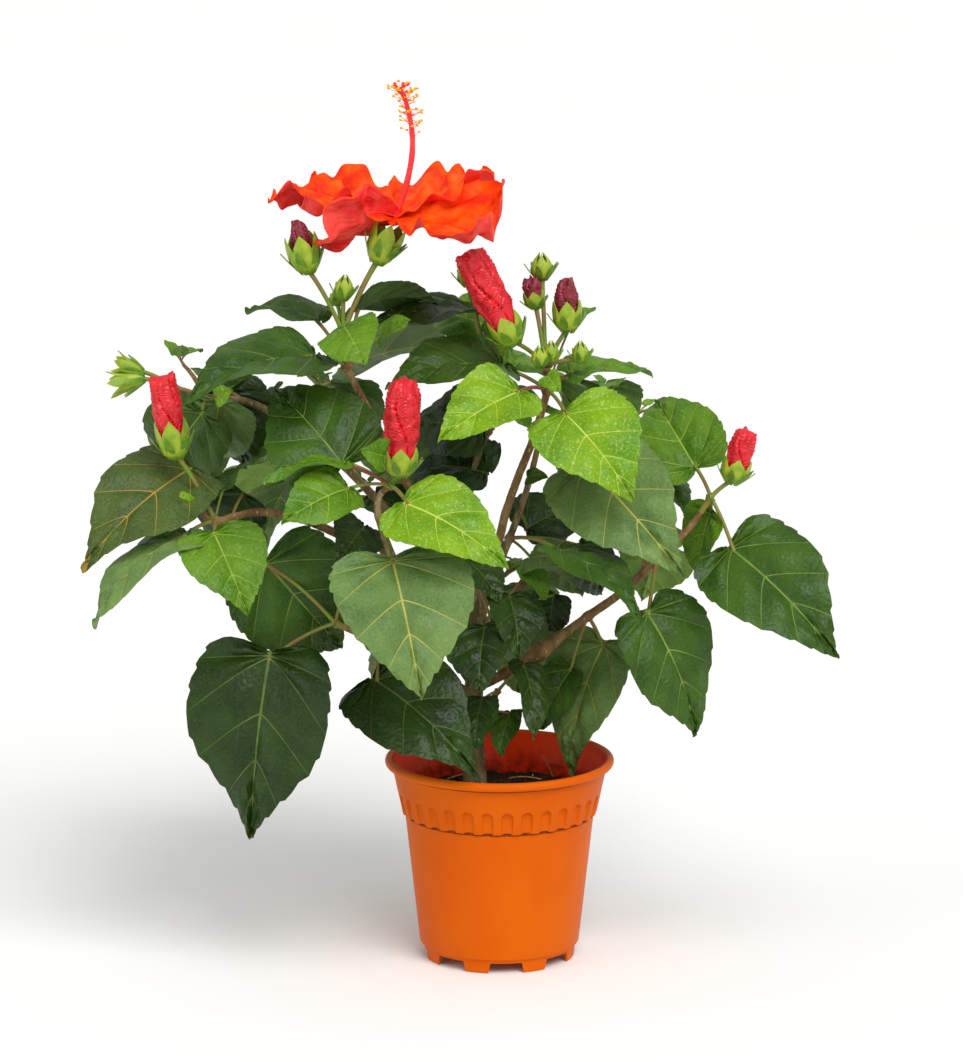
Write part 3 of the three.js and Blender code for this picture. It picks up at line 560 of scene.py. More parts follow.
def frames_along(path: Array) -> tuple[Array, Array]:
    """Two unit vectors across a path at each point, turning as little as they can.

    Args:
        path: the path's points.

    Returns:
        The vectors across it, and the third of each right-handed set.
    """
    tangents = np.gradient(path, axis=0)
    tangents /= np.linalg.norm(tangents, axis=1, keepdims=True)
    across = np.array([0.0, 0.0, 1.0] if abs(tangents[0][2]) < STEEP else [1.0, 0.0, 0.0])
    sides = []
    for tangent in tangents:
        across = across - tangent * (across @ tangent)
        across = across / np.linalg.norm(across)
        sides.append(across)
    sides = np.array(sides)
    return sides, np.cross(tangents, sides)


def ring_angles(sides: int) -> Array:
    """Even angles round a ring, in radians."""
    return TURN * np.arange(sides) / sides


def ring_spokes(across: Array, up: Array, sides: int) -> Array:
    """Unit vectors out to a ring's points, from the two across its axis."""
    angles = ring_angles(sides)[:, None]
    return across[..., None, :] * np.cos(angles) + up[..., None, :] * np.sin(angles)


def ring_points(path: Array, radii: Array, sides: int) -> Array:
    """Rings of points about a path, with a radius at each of its points, by ring and side."""
    return path[:, None] + ring_spokes(*frames_along(path), sides) * radii[:, None, None]


def bell(gap: Array, width: float) -> Array:
    """A bell curve: 1 where the gap is 0, and almost 0 from two widths on."""
    return np.exp(-((gap / width) ** 2))


def rough_field(points: Array, size: float, seed: float) -> Array:
    """Smooth noise from -1 to 1 at each point, with bumps of that size, moved elsewhere by the seed."""
    flat = points.reshape(-1, 3) / size + seed
    return np.array([noise.noise(Vector(p)) for p in flat]).reshape(points.shape[:-1])


# Growth: the same rule as in the part's source


def direction(heading: float, pitch: float) -> Array:
    """Unit vector of a heading and a pitch."""
    h, p = math.radians(heading), math.radians(pitch)
    return np.array([math.cos(p) * math.cos(h), math.cos(p) * math.sin(h), math.sin(p)])


def walk(start: Array, legs: Sequence[Triple]) -> Array:
    """Corner points of a chain of legs, each with its heading, pitch and length."""
    steps = [direction(heading, pitch) * length for heading, pitch, length in legs]
    return np.cumsum([start, *steps], axis=0)


class SmoothPath:
    """A Catmull-Rom curve through points, its parameter even over the gaps between them."""

    def __init__(self, points: Array) -> None:
        """Keeps the points, and one more beyond either end."""
        self.gaps = len(points) - 1
        self.points = np.concatenate([[2 * points[0] - points[1]], points, [2 * points[-1] - points[-2]]])

    def at(self, t: float) -> Array:
        """The curve's point at t.

        Args:
            t: how far along it, 0 to 1.

        Returns:
            The point.
        """
        gap = min(int(t * self.gaps), self.gaps - 1)
        w = t * self.gaps - gap
        before, first, second, after = self.points[gap : gap + 4]
        leave, arrive = (second - before) / 2, (after - first) / 2
        bend = 3 * (second - first) - 2 * leave - arrive
        return first + leave * w + bend * w**2 + (2 * (first - second) + leave + arrive) * w**3

    def sample(self, start: float, end: float, steps: int) -> Array:
        """Even points from start to end, steps + 1 of them."""
        return np.array([self.at(start + (end - start) * i / steps) for i in range(steps + 1)])


@dataclass(frozen=True)
class TrunkForm:
    """The trunk's axis, girth and root flare."""

    foot: Triple = (-14, 0, 93.3)
    legs: tuple[Triple, ...] = ((135, 88, 43), (-40, 88, 43), (-150, 88.5, 43))
    foot_radius: float = 6.9
    top_radius: float = 3.7
    flare: float = 2.6
    flare_height: float = 4

    def curve(self) -> SmoothPath:
        """The trunk's axis."""
        return SmoothPath(walk(np.array(self.foot, float), self.legs))

    def axis_at(self, height: float) -> Array:
        """The axis's point at about a height.

        Args:
            height: how high it is.

        Returns:
            The point.
        """
        curve = self.curve()
        low, high = curve.at(0)[2], curve.at(1)[2]
        return curve.at((height - low) / (high - low))


TRUNK = TrunkForm()


@dataclass(frozen=True)
class LeafRow:
    """A leaf as the photograph shows it: place on the stem, petiole and blade."""

    place: float
    petiole: float
    petiole_heading: float
    petiole_pitch: float
    heading: float
    pitch: float
    roll: float
    length: float
    width: float
    tone: LeafTone = LeafTone.MATURE


@dataclass(frozen=True)
class BudRow:
    """A bud: place on the stem, stalk, the way it points, and the sizes of calyx and whole."""

    place: float
    stalk: float
    stalk_heading: float
    stalk_pitch: float
    heading: float
    pitch: float
    calyx: float
    calyx_radius: float
    length: float
    radius: float
    kind: BudKind = BudKind.GREEN


@dataclass(frozen=True)
class Branch:
    """One bough, the stem that goes on from it, and what grows there, in rows for LeafRow and BudRow."""

    name: str
    foot: float
    bough: tuple[Triple, ...]
    stem: tuple[Triple, ...]
    radii: Triple
    twigs: int
    space: tuple[float, ...]
    facing: float
    leaves: tuple[tuple, ...] = ()
    buds: tuple[tuple, ...] = ()
    tones: tuple[LeafTone, ...] = (T.MATURE, T.DARK, T.FRESH)
    knot: float = 0.0

    def curve(self) -> SmoothPath:
        """The branch's whole axis, from inside the trunk to the stem's tip."""
        return SmoothPath(walk(TRUNK.axis_at(self.foot), self.bough + self.stem))

    def stem_place(self, share: float) -> float:
        """Turns a share of the stem into a share of the whole axis, whose bough ends at 0."""
        joint = len(self.bough) / (len(self.bough) + len(self.stem))
        return joint + (1 - joint) * share


BRANCHES: tuple[Branch, ...] = (
    Branch(
        "right", 157, ((-18, 21, 14), (-11, 32, 19), (-5, 34, 14)),
        ((-5, 38, 31), (-6, 37, 25), (-6, 45, 26), (-3, 45, 25), (-5, 56, 22)),
        (3.3, 2.6, 1.8), 6, (88, 66, 245, 70, 80, 62), 125, knot=5.2,
        leaves=(
            (0.2, 23, 50, -46, -156, -70, 25, 80, 54, T.DUSTY),
            (0.2, 33, 145, -71, 164, -63, 65, 42, 28, T.MATURE),
            (0.6, 32, -109, -49, 5, -65, -60, 80, 56, T.MATURE),
            (0.6, 19, 79, 11, 111, -49, -30, 48, 44, T.FRESH),
            (1, 10, 84, -53, 124, -77, 85, 46, 34, T.FRESH),
            (1, 29, -32, -67, -36, -34, -40, 92, 62, T.MATURE),
            (1, 27, 106, 24, 117, 33, 35, 66, 48, T.FRESH),
        ),
        buds=((1, 14, 0, 35, 0, 75, 15, 7.5, 31, 7, K.RED),),
    ),
    Branch(
        "centre", 214, ((-9, 60, 25), (-9, 75, 23), (-8, 71, 21), (0, 69, 22)),
        ((-7, 74, 30), (-117, 81, 14)), (2.6, 2.2, 1.8), 3, (45, 55, 318, 66, 66, 46), 80,
        leaves=(
            (0.5, 31, -73, -14, -43, -39, -30, 64, 58, T.YOUNG),
            (0.5, 39, -114, 8, -141, -20, 35, 60, 42, T.YOUNG),
            (0.5, 28, 168, 27, -154, -1, 20, 72, 48, T.MATURE),
            (0.5, 17, 42, 27, 19, 1, -10, 52, 36, T.FRESH),
            (0.5, 28, -91, 26, -68, -17, -40, 18, 12, T.YOUNG),
            (0.5, 38, 39, 65, 42, 25, -5, 22, 14, T.FRESH),
        ),
        buds=(
            (1, 27, -139, 33, 180, 63, 18, 8.5, 58, 9.5, K.RED),
            (1, 33, 121, 72, 180, 79, 10, 5.5, 17, 6, K.DARK),
            (1, 23, 5, 57, 180, 87, 18, 7.5, 30, 6.5, K.DARK),
            (1, 49, 97, 72, 180, 88, 15, 6.5, 17, 5),
            (1, 17, -101, 8, 180, 88, 12, 5, 13, 3.5),
            (1, 20, -9, 8, 180, 88, 12, 5, 13, 3.5),
            (1, 12, -73, 20, 180, 88, 12, 4.5, 14, 3.5),
        ),
    ),
    Branch(
        "mid_right", 206, ((18, 50, 16), (16, 63, 16)), ((23, 67, 20), (0, 72, 23), (-18, 76, 27)),
        (2.4, 2.2, 1.6), 2, (60, 55, 270, 62, 64, 55), 40,
        leaves=(
            (1, 30, -35, -23, -41, -35, -45, 90, 62, T.DUSTY),
            (0.15, 54, -61, 4, -41, -23, 5, 68, 44, T.MATURE),
            (0.4, 24, 80, -35, 39, 12, -35, 48, 36, T.DARK),
            (0.15, 40, 10, -6, 53, -55, -105, 42, 30, T.DARK),
            (0.15, 16, -32, -37, -47, 7, -35, 38, 28, T.DUSTY),
            (1, 11, -142, 54, -141, 14, 65, 12, 9, T.FRESH),
            (0.7, 12, -100, 10, -41, 9, -60, 14, 10, T.MATURE),
        ),
    ),
    Branch(
        "top_left", 216, ((-158, 55, 33), (-163, 58, 40), (-163, 63, 37)), ((-173, 64, 37), (-135, 82, 19)),
        (2.6, 2.1, 1.7), 3, (-90, 55, 320, 75, 70, 46), 120,
        leaves=(
            (0.5, 23, -139, 21, -151, -8, 15, 82, 60, T.MATURE),
            (0.5, 35, -91, 47, -67, -24, -30, 32, 34, T.FRESH),
            (0.5, 32, 133, 46, 149, 4, 5, 50, 32, T.MATURE),
            (0.5, 33, 77, 61, 37, 5, 35, 56, 34, T.DARK),
            (0.5, 26, -24, 41, -41, 31, -50, 26, 16, T.FRESH),
            (0.5, 32, 88, -8, 35, 4, 45, 74, 50, T.DUSTY),
        ),
        buds=(
            (1, 39, -168, 61, 180, 77, 22, 8.5, 30, 5.5, K.DARK),
            (1, 19, -87, 84, 0, 84, 14, 5.5, 17, 3.5),
            (1, 17, 114, 59, 0, 88, 9, 4.5, 11, 3),
            (1, 43, 6, 64, 0, 69, 24, 8.5, 27, 6, K.FLOWER),
        ),
    ),
    Branch(
        "front", 178, ((-130, 39, 43), (-132, 44, 42), (-130, 61, 32)), ((-135, 84, 14), (-9, 53, 10)),
        (2.6, 2.1, 1.7), 1, (-45, -45, 300, 45, 35, 45), 60,
        leaves=(
            (1, 27, -144, 3, -142, -17, 35, 46, 34, T.FRESH),
            (1, 22, -100, 56, -128, 19, 90, 18, 18, T.FRESH),
            (1, 28, -73, -9, -30, -22, -35, 70, 50, T.YOUNG),
            (0.12, 37, -76, -27, -69, -59, -10, 80, 74, T.DUSTY),
            (1, 27, 171, 22, 143, 38, 40, 64, 62, T.MATURE),
            (1, 28, -161, 28, -152, -3, 0, 50, 20, T.FRESH),
        ),
        buds=((1, 9, -32, 36, 0, 88, 17, 8.5, 54, 9.5, K.RED),),
    ),
    Branch(
        "left", 190, ((-157, 38, 52), (-164, 34, 54), (-167, 18, 38)), ((-172, -8, 28), (-174, 41, 12)),
        (2.7, 2.2, 1.7), 3, (-150, 25, 255, 70, 66, 55), 120,
        leaves=(
            (0.5, 34, 130, 52, -142, -30, 30, 88, 58, T.AGED),
            (0.5, 19, -141, -14, -141, -28, 0, 78, 46, T.DUSTY),
            (0.5, 22, -89, -5, -58, -48, -20, 52, 46, T.FRESH),
            (0.5, 18, 73, 53, 68, 23, 25, 30, 26, T.MATURE),
            (0.3, 24, 75, 25, 150, -62, 95, 46, 42, T.DARK),
            (0.5, 15, -163, 25, -120, 52, 130, 14, 12, T.YOUNG),
        ),
        buds=((0.5, 42, -163, 60, 180, 80, 22, 8.5, 46, 8, K.RED),),
    ),
    Branch(
        "upper_left", 204, ((163, 45, 59), (170, 44, 63), (178, 33, 45)), ((-178, 10, 29), (-171, 18, 19)),
        (2.7, 2.1, 1.6), 3, (-140, 70, 290, 75, 72, 55), 100,
        leaves=(
            (0.5, 15, -94, -23, 140, -49, 110, 58, 50, T.MATURE),
            (0.5, 9, -28, -6, 108, -58, 155, 50, 44, T.DUSTY),
            (0.12, 12, 162, 36, 77, -57, -155, 60, 46, T.DARK),
            (0.5, 12, -60, 6, -49, 24, -90, 16, 12, T.YOUNG),
        ),
        buds=(
            (1, 18, -170, 18, 180, -12, 20, 5.5, 25, 3.5, K.OPEN),
            (1, 20, 170, 24, 180, 19, 17, 5, 21, 3.5, K.OPEN),
        ),
    ),
    Branch(
        "back_top", 212, ((94, 56, 29), (96, 69, 28)), ((27, 77, 40), (76, 82, 29)),
        (2.4, 2, 1.6), 18, (-15, 100, 290, 95, 90, 70), 90,
        leaves=(
            (1, 35, 180, 86, -152, 1, 5, 72, 40, T.DARK),
            (1, 28, 90, 69, 142, 6, 35, 44, 34, T.FRESH),
            (0.5, 6, -72, 11, 144, -6, 55, 56, 44, T.DARK),
            (0.12, 11, -29, 21, 144, -2, 35, 60, 44, T.DARK),
            (1, 28, -43, 42, 129, -7, 70, 40, 34, T.FRESH),
        ),
        buds=((1, 55, -125, 72, 180, 80, 15, 5.5, 19, 4),),
        tones=(T.MATURE, T.DARK, T.FRESH, T.MATURE, T.YOUNG),
    ),
    Branch(
        "low_left", 150, (), ((-142, 34, 39), (-153, 30, 36), (-166, 26, 27)),
        (2.8, 2.8, 1.8), 3, (-100, 25, 200, 70, 62, 52), 140,
        leaves=(
            (1, 40, -158, -18, -168, -83, 65, 108, 78, T.DARK),
            (1, 54, -171, 43, 35, -48, -105, 82, 68, T.MATURE),
            (0.667, 22, -104, -55, -33, -29, -35, 84, 62, T.DARK),
            (1, 57, 20, 72, -112, -20, 35, 36, 30, T.DARK),
        ),
    ),
    Branch(
        "low_centre", 165, (), ((-69, 53, 21), (-53, 54, 17), (-16, 66, 18)),
        (2.4, 2.4, 1.6), 0, (0, -30, 190, 30, 30, 40), -90,
        leaves=(
            (0.667, 24, -49, 56, -74, -51, 10, 38, 32, T.DARK),
            (0.667, 13, -112, 13, -95, -48, -20, 40, 40, T.DARK),
            (0.667, 44, 35, 18, 97, -64, 140, 28, 26, T.DARK),
            (0.667, 38, 31, 53, -56, -36, -5, 22, 16, T.FRESH),
            (0.667, 42, 180, 68, -50, -29, -15, 36, 30, T.DARK),
        ),
    ),
    Branch(
        "foot", 128, (), ((-63, 50, 21), (-37, 54, 17)), (2.2, 2.2, 1.5), 0, (0, -30, 150, 30, 30, 30), -90,
        leaves=(
            (1, 12, -138, -9, -105, -55, -15, 30, 24, T.DARK),
            (1, 22, -16, 48, -75, -54, 25, 46, 24, T.DARK),
            (0.5, 15, 8, 0, -105, -46, -20, 28, 20, T.MATURE),
        ),
    ),
    Branch(
        "back_left", 172, ((132, 36, 56), (146, 36, 53)), ((146, 41, 40), (115, 50, 34)),
        (2.7, 2.2, 1.6), 26, (-100, 100, 235, 115, 105, 100), 115,
        tones=(T.MATURE, T.FRESH, T.DARK, T.MATURE, T.DUSTY),
    ),
    Branch(
        "back_right", 186, ((43, 32, 52), (43, 39, 42)), ((52, 47, 37), (66, 44, 36)),
        (2.7, 2.2, 1.6), 30, (58, 95, 240, 78, 105, 95), 65,
        tones=(T.MATURE, T.DARK, T.FRESH, T.MATURE),
    ),
    Branch(
        "back_low", 145, (), ((84, 40, 44), (75, 62, 36)),
        (2.6, 2.6, 1.6), 22, (-12, 100, 185, 100, 95, 80), 90,
        tones=(T.DARK, T.MATURE, T.DARK, T.DUSTY, T.MATURE),
    ),
)


@dataclass(frozen=True)
class Leaf:
    """A leaf in its place: where its petiole leaves the stem, the blade's foot and axes, and its size."""

    root: Array
    base: Array
    along: Array
    out: Array
    left: Array
    length: float
    width: float
    tone: LeafTone

    def point(self, u: Array | float, x: Array | float, lift: Array | float = 0.0) -> Array:
        """Points of the blade.

        Args:
            u: how far along it, 0 to 1.
            x: how far to the left, in millimetres.
            lift: how far above its arched and folded face.

        Returns:
            The points, with the coordinate last.
        """
        u, x = np.broadcast_arrays(np.asarray(u, float), np.asarray(x, float))
        arch, fold = GROWTH.leaf_arch * self.length, GROWTH.leaf_fold
        height = arch * 4 * u * (1 - u) + fold * np.abs(x) + lift
        flat = self.base + u[..., None] * self.length * self.along + x[..., None] * self.left
        return flat + height[..., None] * self.out


@dataclass(frozen=True)
class Bud:
    """A bud in its place: where its stalk leaves the stem, its foot, its axis and its row of sizes."""

    root: Array
    base: Array
    axis: Array
    row: BudRow

    def tip(self) -> Array:
        """The far end of the bud."""
        return self.base + self.axis * self.row.length


def blade_axes(heading: float, pitch: float, roll: float) -> tuple[Array, Array, Array]:
    """Unit vectors of a blade.

    Args:
        heading: the way that it runs.
        pitch: how steeply it rises.
        roll: how far it is turned about its length.

    Returns:
        The vectors along it, out of its upper face, and to its left.
    """
    along, upright = direction(heading, pitch), direction(heading, pitch + 90)
    aside = np.cross(upright, along)
    out = upright * math.cos(math.radians(roll)) + aside * math.sin(math.radians(roll))
    return along, out, np.cross(out, along)


def leaf_edge(t: Array | float) -> tuple[Array, Array]:
    """The leaf's edge without its teeth.

    Args:
        t: 0 at the petiole to 1 at the tip.

    Returns:
        How far along the blade, and how far aside as a share of its width.
    """
    t = np.asarray(t, float)
    turn = math.pi * t
    lobe = GROWTH.leaf_lobe * np.sin(turn) * (1 - t) ** 2
    half = GROWTH.leaf_fullness * np.sin(turn) * (1 - GROWTH.leaf_taper * t**2)
    return ((1 - np.cos(turn)) / 2) ** GROWTH.leaf_rise - lobe, half


def stalk_path(start: Array, end: Array, steps: int) -> Array:
    """An arched stalk between two points.

    Args:
        start: where it leaves.
        end: where it arrives.
        steps: how many pieces it has.

    Returns:
        The path's points.
    """
    rise = GROWTH.petiole_sag * np.linalg.norm(end - start)
    middle = (start + end) / 2 + np.array([0, 0, rise])
    t = np.linspace(0, 1, steps + 1)[:, None]
    return start * (1 - t) ** 2 + middle * 2 * t * (1 - t) + end * t**2


@dataclass
class SeededNumbers:
    """The seeded numbers that the part's source draws, so that the same twigs grow here."""

    state: int
    factor: int = 1664525
    step: int = 1013904223
    end: int = 2**32

    def next(self) -> float:
        """The next number, from 0 to 1."""
        self.state = (self.state * self.factor + self.step) % self.end
        return self.state / self.end

    def between(self, limits: Pair) -> float:
        """A number between two limits."""
        return limits[0] + (limits[1] - limits[0]) * self.next()


class Balls(NamedTuple):
    """Balls that stand for something grown: centres, radii, and which of them are of a blade."""

    places: Array
    reach: Array
    blades: Array


def join_balls(parts: Sequence[Balls]) -> Balls:
    """The balls of several things together."""
    return Balls(*map(np.concatenate, zip(*parts)))


@dataclass
class GrownSpace:
    """The balls of all that has grown, so that a new leaf is kept clear of it."""

    grown: list[Balls] = field(default_factory=list)
    owners: list[int] = field(default_factory=list)

    def push(self, balls: Balls, owner: int) -> None:
        """Adds the balls of the branch with that number."""
        self.grown.append(balls)
        self.owners.extend([owner] * len(balls.places))

    def fits(self, balls: Balls, owner: int, space: Sequence[float]) -> bool:
        """Tells if new balls stay in their branch's space, off the pot and clear of all that has grown.

        Args:
            balls: the new balls.
            owner: their branch's number.
            space: the middle and half-widths of its ellipsoid.

        Returns:
            True if they do.
        """
        places = balls.places
        inside = (((places - np.array(space[:3])) / np.array(space[3:])) ** 2).sum(axis=1)
        low = places[:, 2] < GROWTH.pot_top
        if (inside > 1).any() or (low & (np.hypot(places[:, 0], places[:, 1]) < GROWTH.pot_keep_out)).any():
            return False
        old = join_balls(self.grown)
        gaps = np.linalg.norm(places[:, None] - old.places[None], axis=2)
        near = gaps < balls.reach[:, None] + old.reach[None]
        minded = (np.array(self.owners)[None] != owner) | (balls.blades[:, None] & old.blades[None])
        return not (near & minded).any()


@dataclass
class Plant:
    """What one branch carries: its own leaves and buds, and its seeded twigs with their leaves."""

    branch: Branch
    leaves: list[Leaf]
    buds: list[Bud]
    twigs: list[Array] = field(default_factory=list)
    grown: list[Leaf] = field(default_factory=list)


@dataclass(frozen=True)
class Growth:
    """Sizes of the growth rule, and the rule itself. A pair is the least and the most."""

    leaf_arch: float = 0.07
    leaf_fold: float = 0.14
    leaf_rise: float = 1.3
    leaf_lobe: float = 0.22
    leaf_fullness: float = 0.58
    leaf_taper: float = 0.62
    petiole_radius: float = 1.3
    petiole_sag: float = 0.12
    first_seed: int = 901
    golden_section: float = 0.618
    twig_spread: float = 80
    twig_start: float = 0.2
    twig_lengths: Pair = (17, 31)
    twig_pitches: Pair = (15, 50)
    twig_radius: float = 1.5
    leaf_headings: tuple[float, ...] = (0, 65, -65)
    heading_spread: Pair = (-15, 15)
    leaf_lengths: Pair = (50, 82)
    leaf_pitches: Pair = (-65, -15)
    leaf_rolls: Pair = (-20, 20)
    petiole_lengths: Pair = (12, 24)
    petiole_pitch: float = 10
    leaf_aspect: float = 0.74
    leaf_reach: float = 5
    limb_reach: float = 2.5
    flare_rows: Triple = (0, 0.018, 0.04)
    axis_start: float = 0.1
    axis_steps: int = 24
    ball_gap: float = 6
    ball_rows: tuple[float, ...] = (0.12, 0.3, 0.48, 0.66, 0.84)
    pot_keep_out: float = 78
    pot_top: float = 126

    def grow_leaf(self, root: Array, row: LeafRow) -> Leaf:
        """Sets a leaf on its petiole, which leaves the stem at root.

        Args:
            root: that point.
            row: the leaf's angles and sizes.

        Returns:
            The leaf in its place.
        """
        base = root + direction(row.petiole_heading, row.petiole_pitch) * row.petiole
        axes = blade_axes(row.heading, row.pitch, row.roll)
        return Leaf(root, base, *axes, row.length, row.width, row.tone)

    def grow_bud(self, root: Array, row: BudRow) -> Bud:
        """Sets a bud on its stalk."""
        base = root + direction(row.stalk_heading, row.stalk_pitch) * row.stalk
        return Bud(root, base, direction(row.heading, row.pitch), row)

    def limb_balls(self, path: Array, radius: float) -> Balls:
        """Balls along a limb's path.

        Args:
            path: the limb's points.
            radius: its radius.

        Returns:
            The balls.
        """
        places = []
        for start, end in zip(path[:-1], path[1:]):
            steps = math.ceil(np.linalg.norm(end - start) / self.ball_gap)
            places.extend(start + (end - start) * k / steps for k in range(steps))
        count = len(places)
        return Balls(np.array(places), np.full(count, radius + self.limb_reach), np.zeros(count, bool))

    def leaf_balls(self, leaf: Leaf) -> Balls:
        """Balls over a leaf's blade and along its petiole.

        Args:
            leaf: the leaf.

        Returns:
            The balls.
        """
        u, half = leaf_edge(np.array(self.ball_rows))
        shares = np.linspace(-1, 1, 5)
        blade = leaf.point(u[:, None], half[:, None] * shares[None] * leaf.width).reshape(-1, 3)
        blade = np.concatenate([blade, leaf.point(1.0, 0.0)[None]])
        over = Balls(blade, np.full(len(blade), self.leaf_reach), np.ones(len(blade), bool))
        return join_balls([over, self.limb_balls(np.array([leaf.root, leaf.base]), self.petiole_radius)])

    def grow_twigs(self, plant: Plant, number: int, space: GrownSpace) -> None:
        """Sets seeded twigs along the stem, each with a leaf ahead and one to either side, where they fit.

        Args:
            plant: the branch, whose lists are filled.
            number: the branch's number.
            space: what has grown so far.
        """
        branch = plant.branch
        numbers = SeededNumbers(self.first_seed + number)
        curve = branch.curve()
        for i in range(branch.twigs):
            share = self.twig_start + (1 - self.twig_start) * (i + numbers.next()) / branch.twigs
            heading = branch.facing + self.twig_spread * (2 * ((self.golden_section * i) % 1) - 1)
            length = numbers.between(self.twig_lengths)
            pitch = numbers.between(self.twig_pitches)
            start = curve.at(branch.stem_place(share))
            path = stalk_path(start, start + direction(heading, pitch) * length, 3)
            leaves = []
            for k, turn in enumerate(self.leaf_headings):
                aside = heading + turn + numbers.between(self.heading_spread)
                sizes = (self.leaf_lengths, self.leaf_pitches, self.petiole_lengths, self.leaf_rolls)
                length, pitch, petiole, roll = map(numbers.between, sizes)
                width, tone = self.leaf_aspect * length, branch.tones[(i + k) % len(branch.tones)]
                row = (0, petiole, aside, self.petiole_pitch, aside, pitch, roll, length, width, tone)
                leaves.append(self.grow_leaf(path[-1 - k], LeafRow(*row)))
            twig = Balls(*(part[2:] for part in self.limb_balls(path, self.twig_radius)))
            if not space.fits(twig, number, branch.space):
                continue
            kept = []
            for leaf in leaves:
                balls = self.leaf_balls(leaf)
                if space.fits(balls, number, branch.space):
                    space.push(balls, number)
                    kept.append(leaf)
            if kept:
                space.push(twig, number)
                plant.twigs.append(path)
                plant.grown.extend(kept)

    def grow(self) -> list[Plant]:
        """Grows every branch: first its own leaves and buds, then the seeded twigs of all.

        Returns:
            What each branch carries, in the order of the table.
        """
        curve = TRUNK.curve()
        trunk = np.array([curve.at(t) for t in (*self.flare_rows, *(i / 10 for i in range(1, 11)))])
        space = GrownSpace()
        space.push(self.limb_balls(trunk, TRUNK.foot_radius), -1)
        plants = []
        for number, branch in enumerate(BRANCHES):
            axis = branch.curve()
            rows = (*branch.leaves, *branch.buds)
            roots = [axis.at(branch.stem_place(place)) for place, *_ in rows]
            leaves = [self.grow_leaf(root, LeafRow(*row)) for root, row in zip(roots, branch.leaves)]
            buds = [self.grow_bud(root, BudRow(*row)) for root, row in zip(roots[len(leaves):], branch.buds)]
            plants.append(Plant(branch, leaves, buds))
            paths = [(axis.sample(self.axis_start, 1, self.axis_steps), branch.radii[0])]
            for bud in buds:
                paths.append((np.array([bud.root, bud.base]), self.petiole_radius))
                paths.append((np.array([bud.base, bud.tip()]), bud.row.calyx_radius))
            for balls in [*(self.limb_balls(*path) for path in paths), *map(self.leaf_balls, leaves)]:
                space.push(balls, number)
        for number, plant in enumerate(plants):
            self.grow_twigs(plant, number, space)
        return plants


GROWTH = Growth()


# Leaves


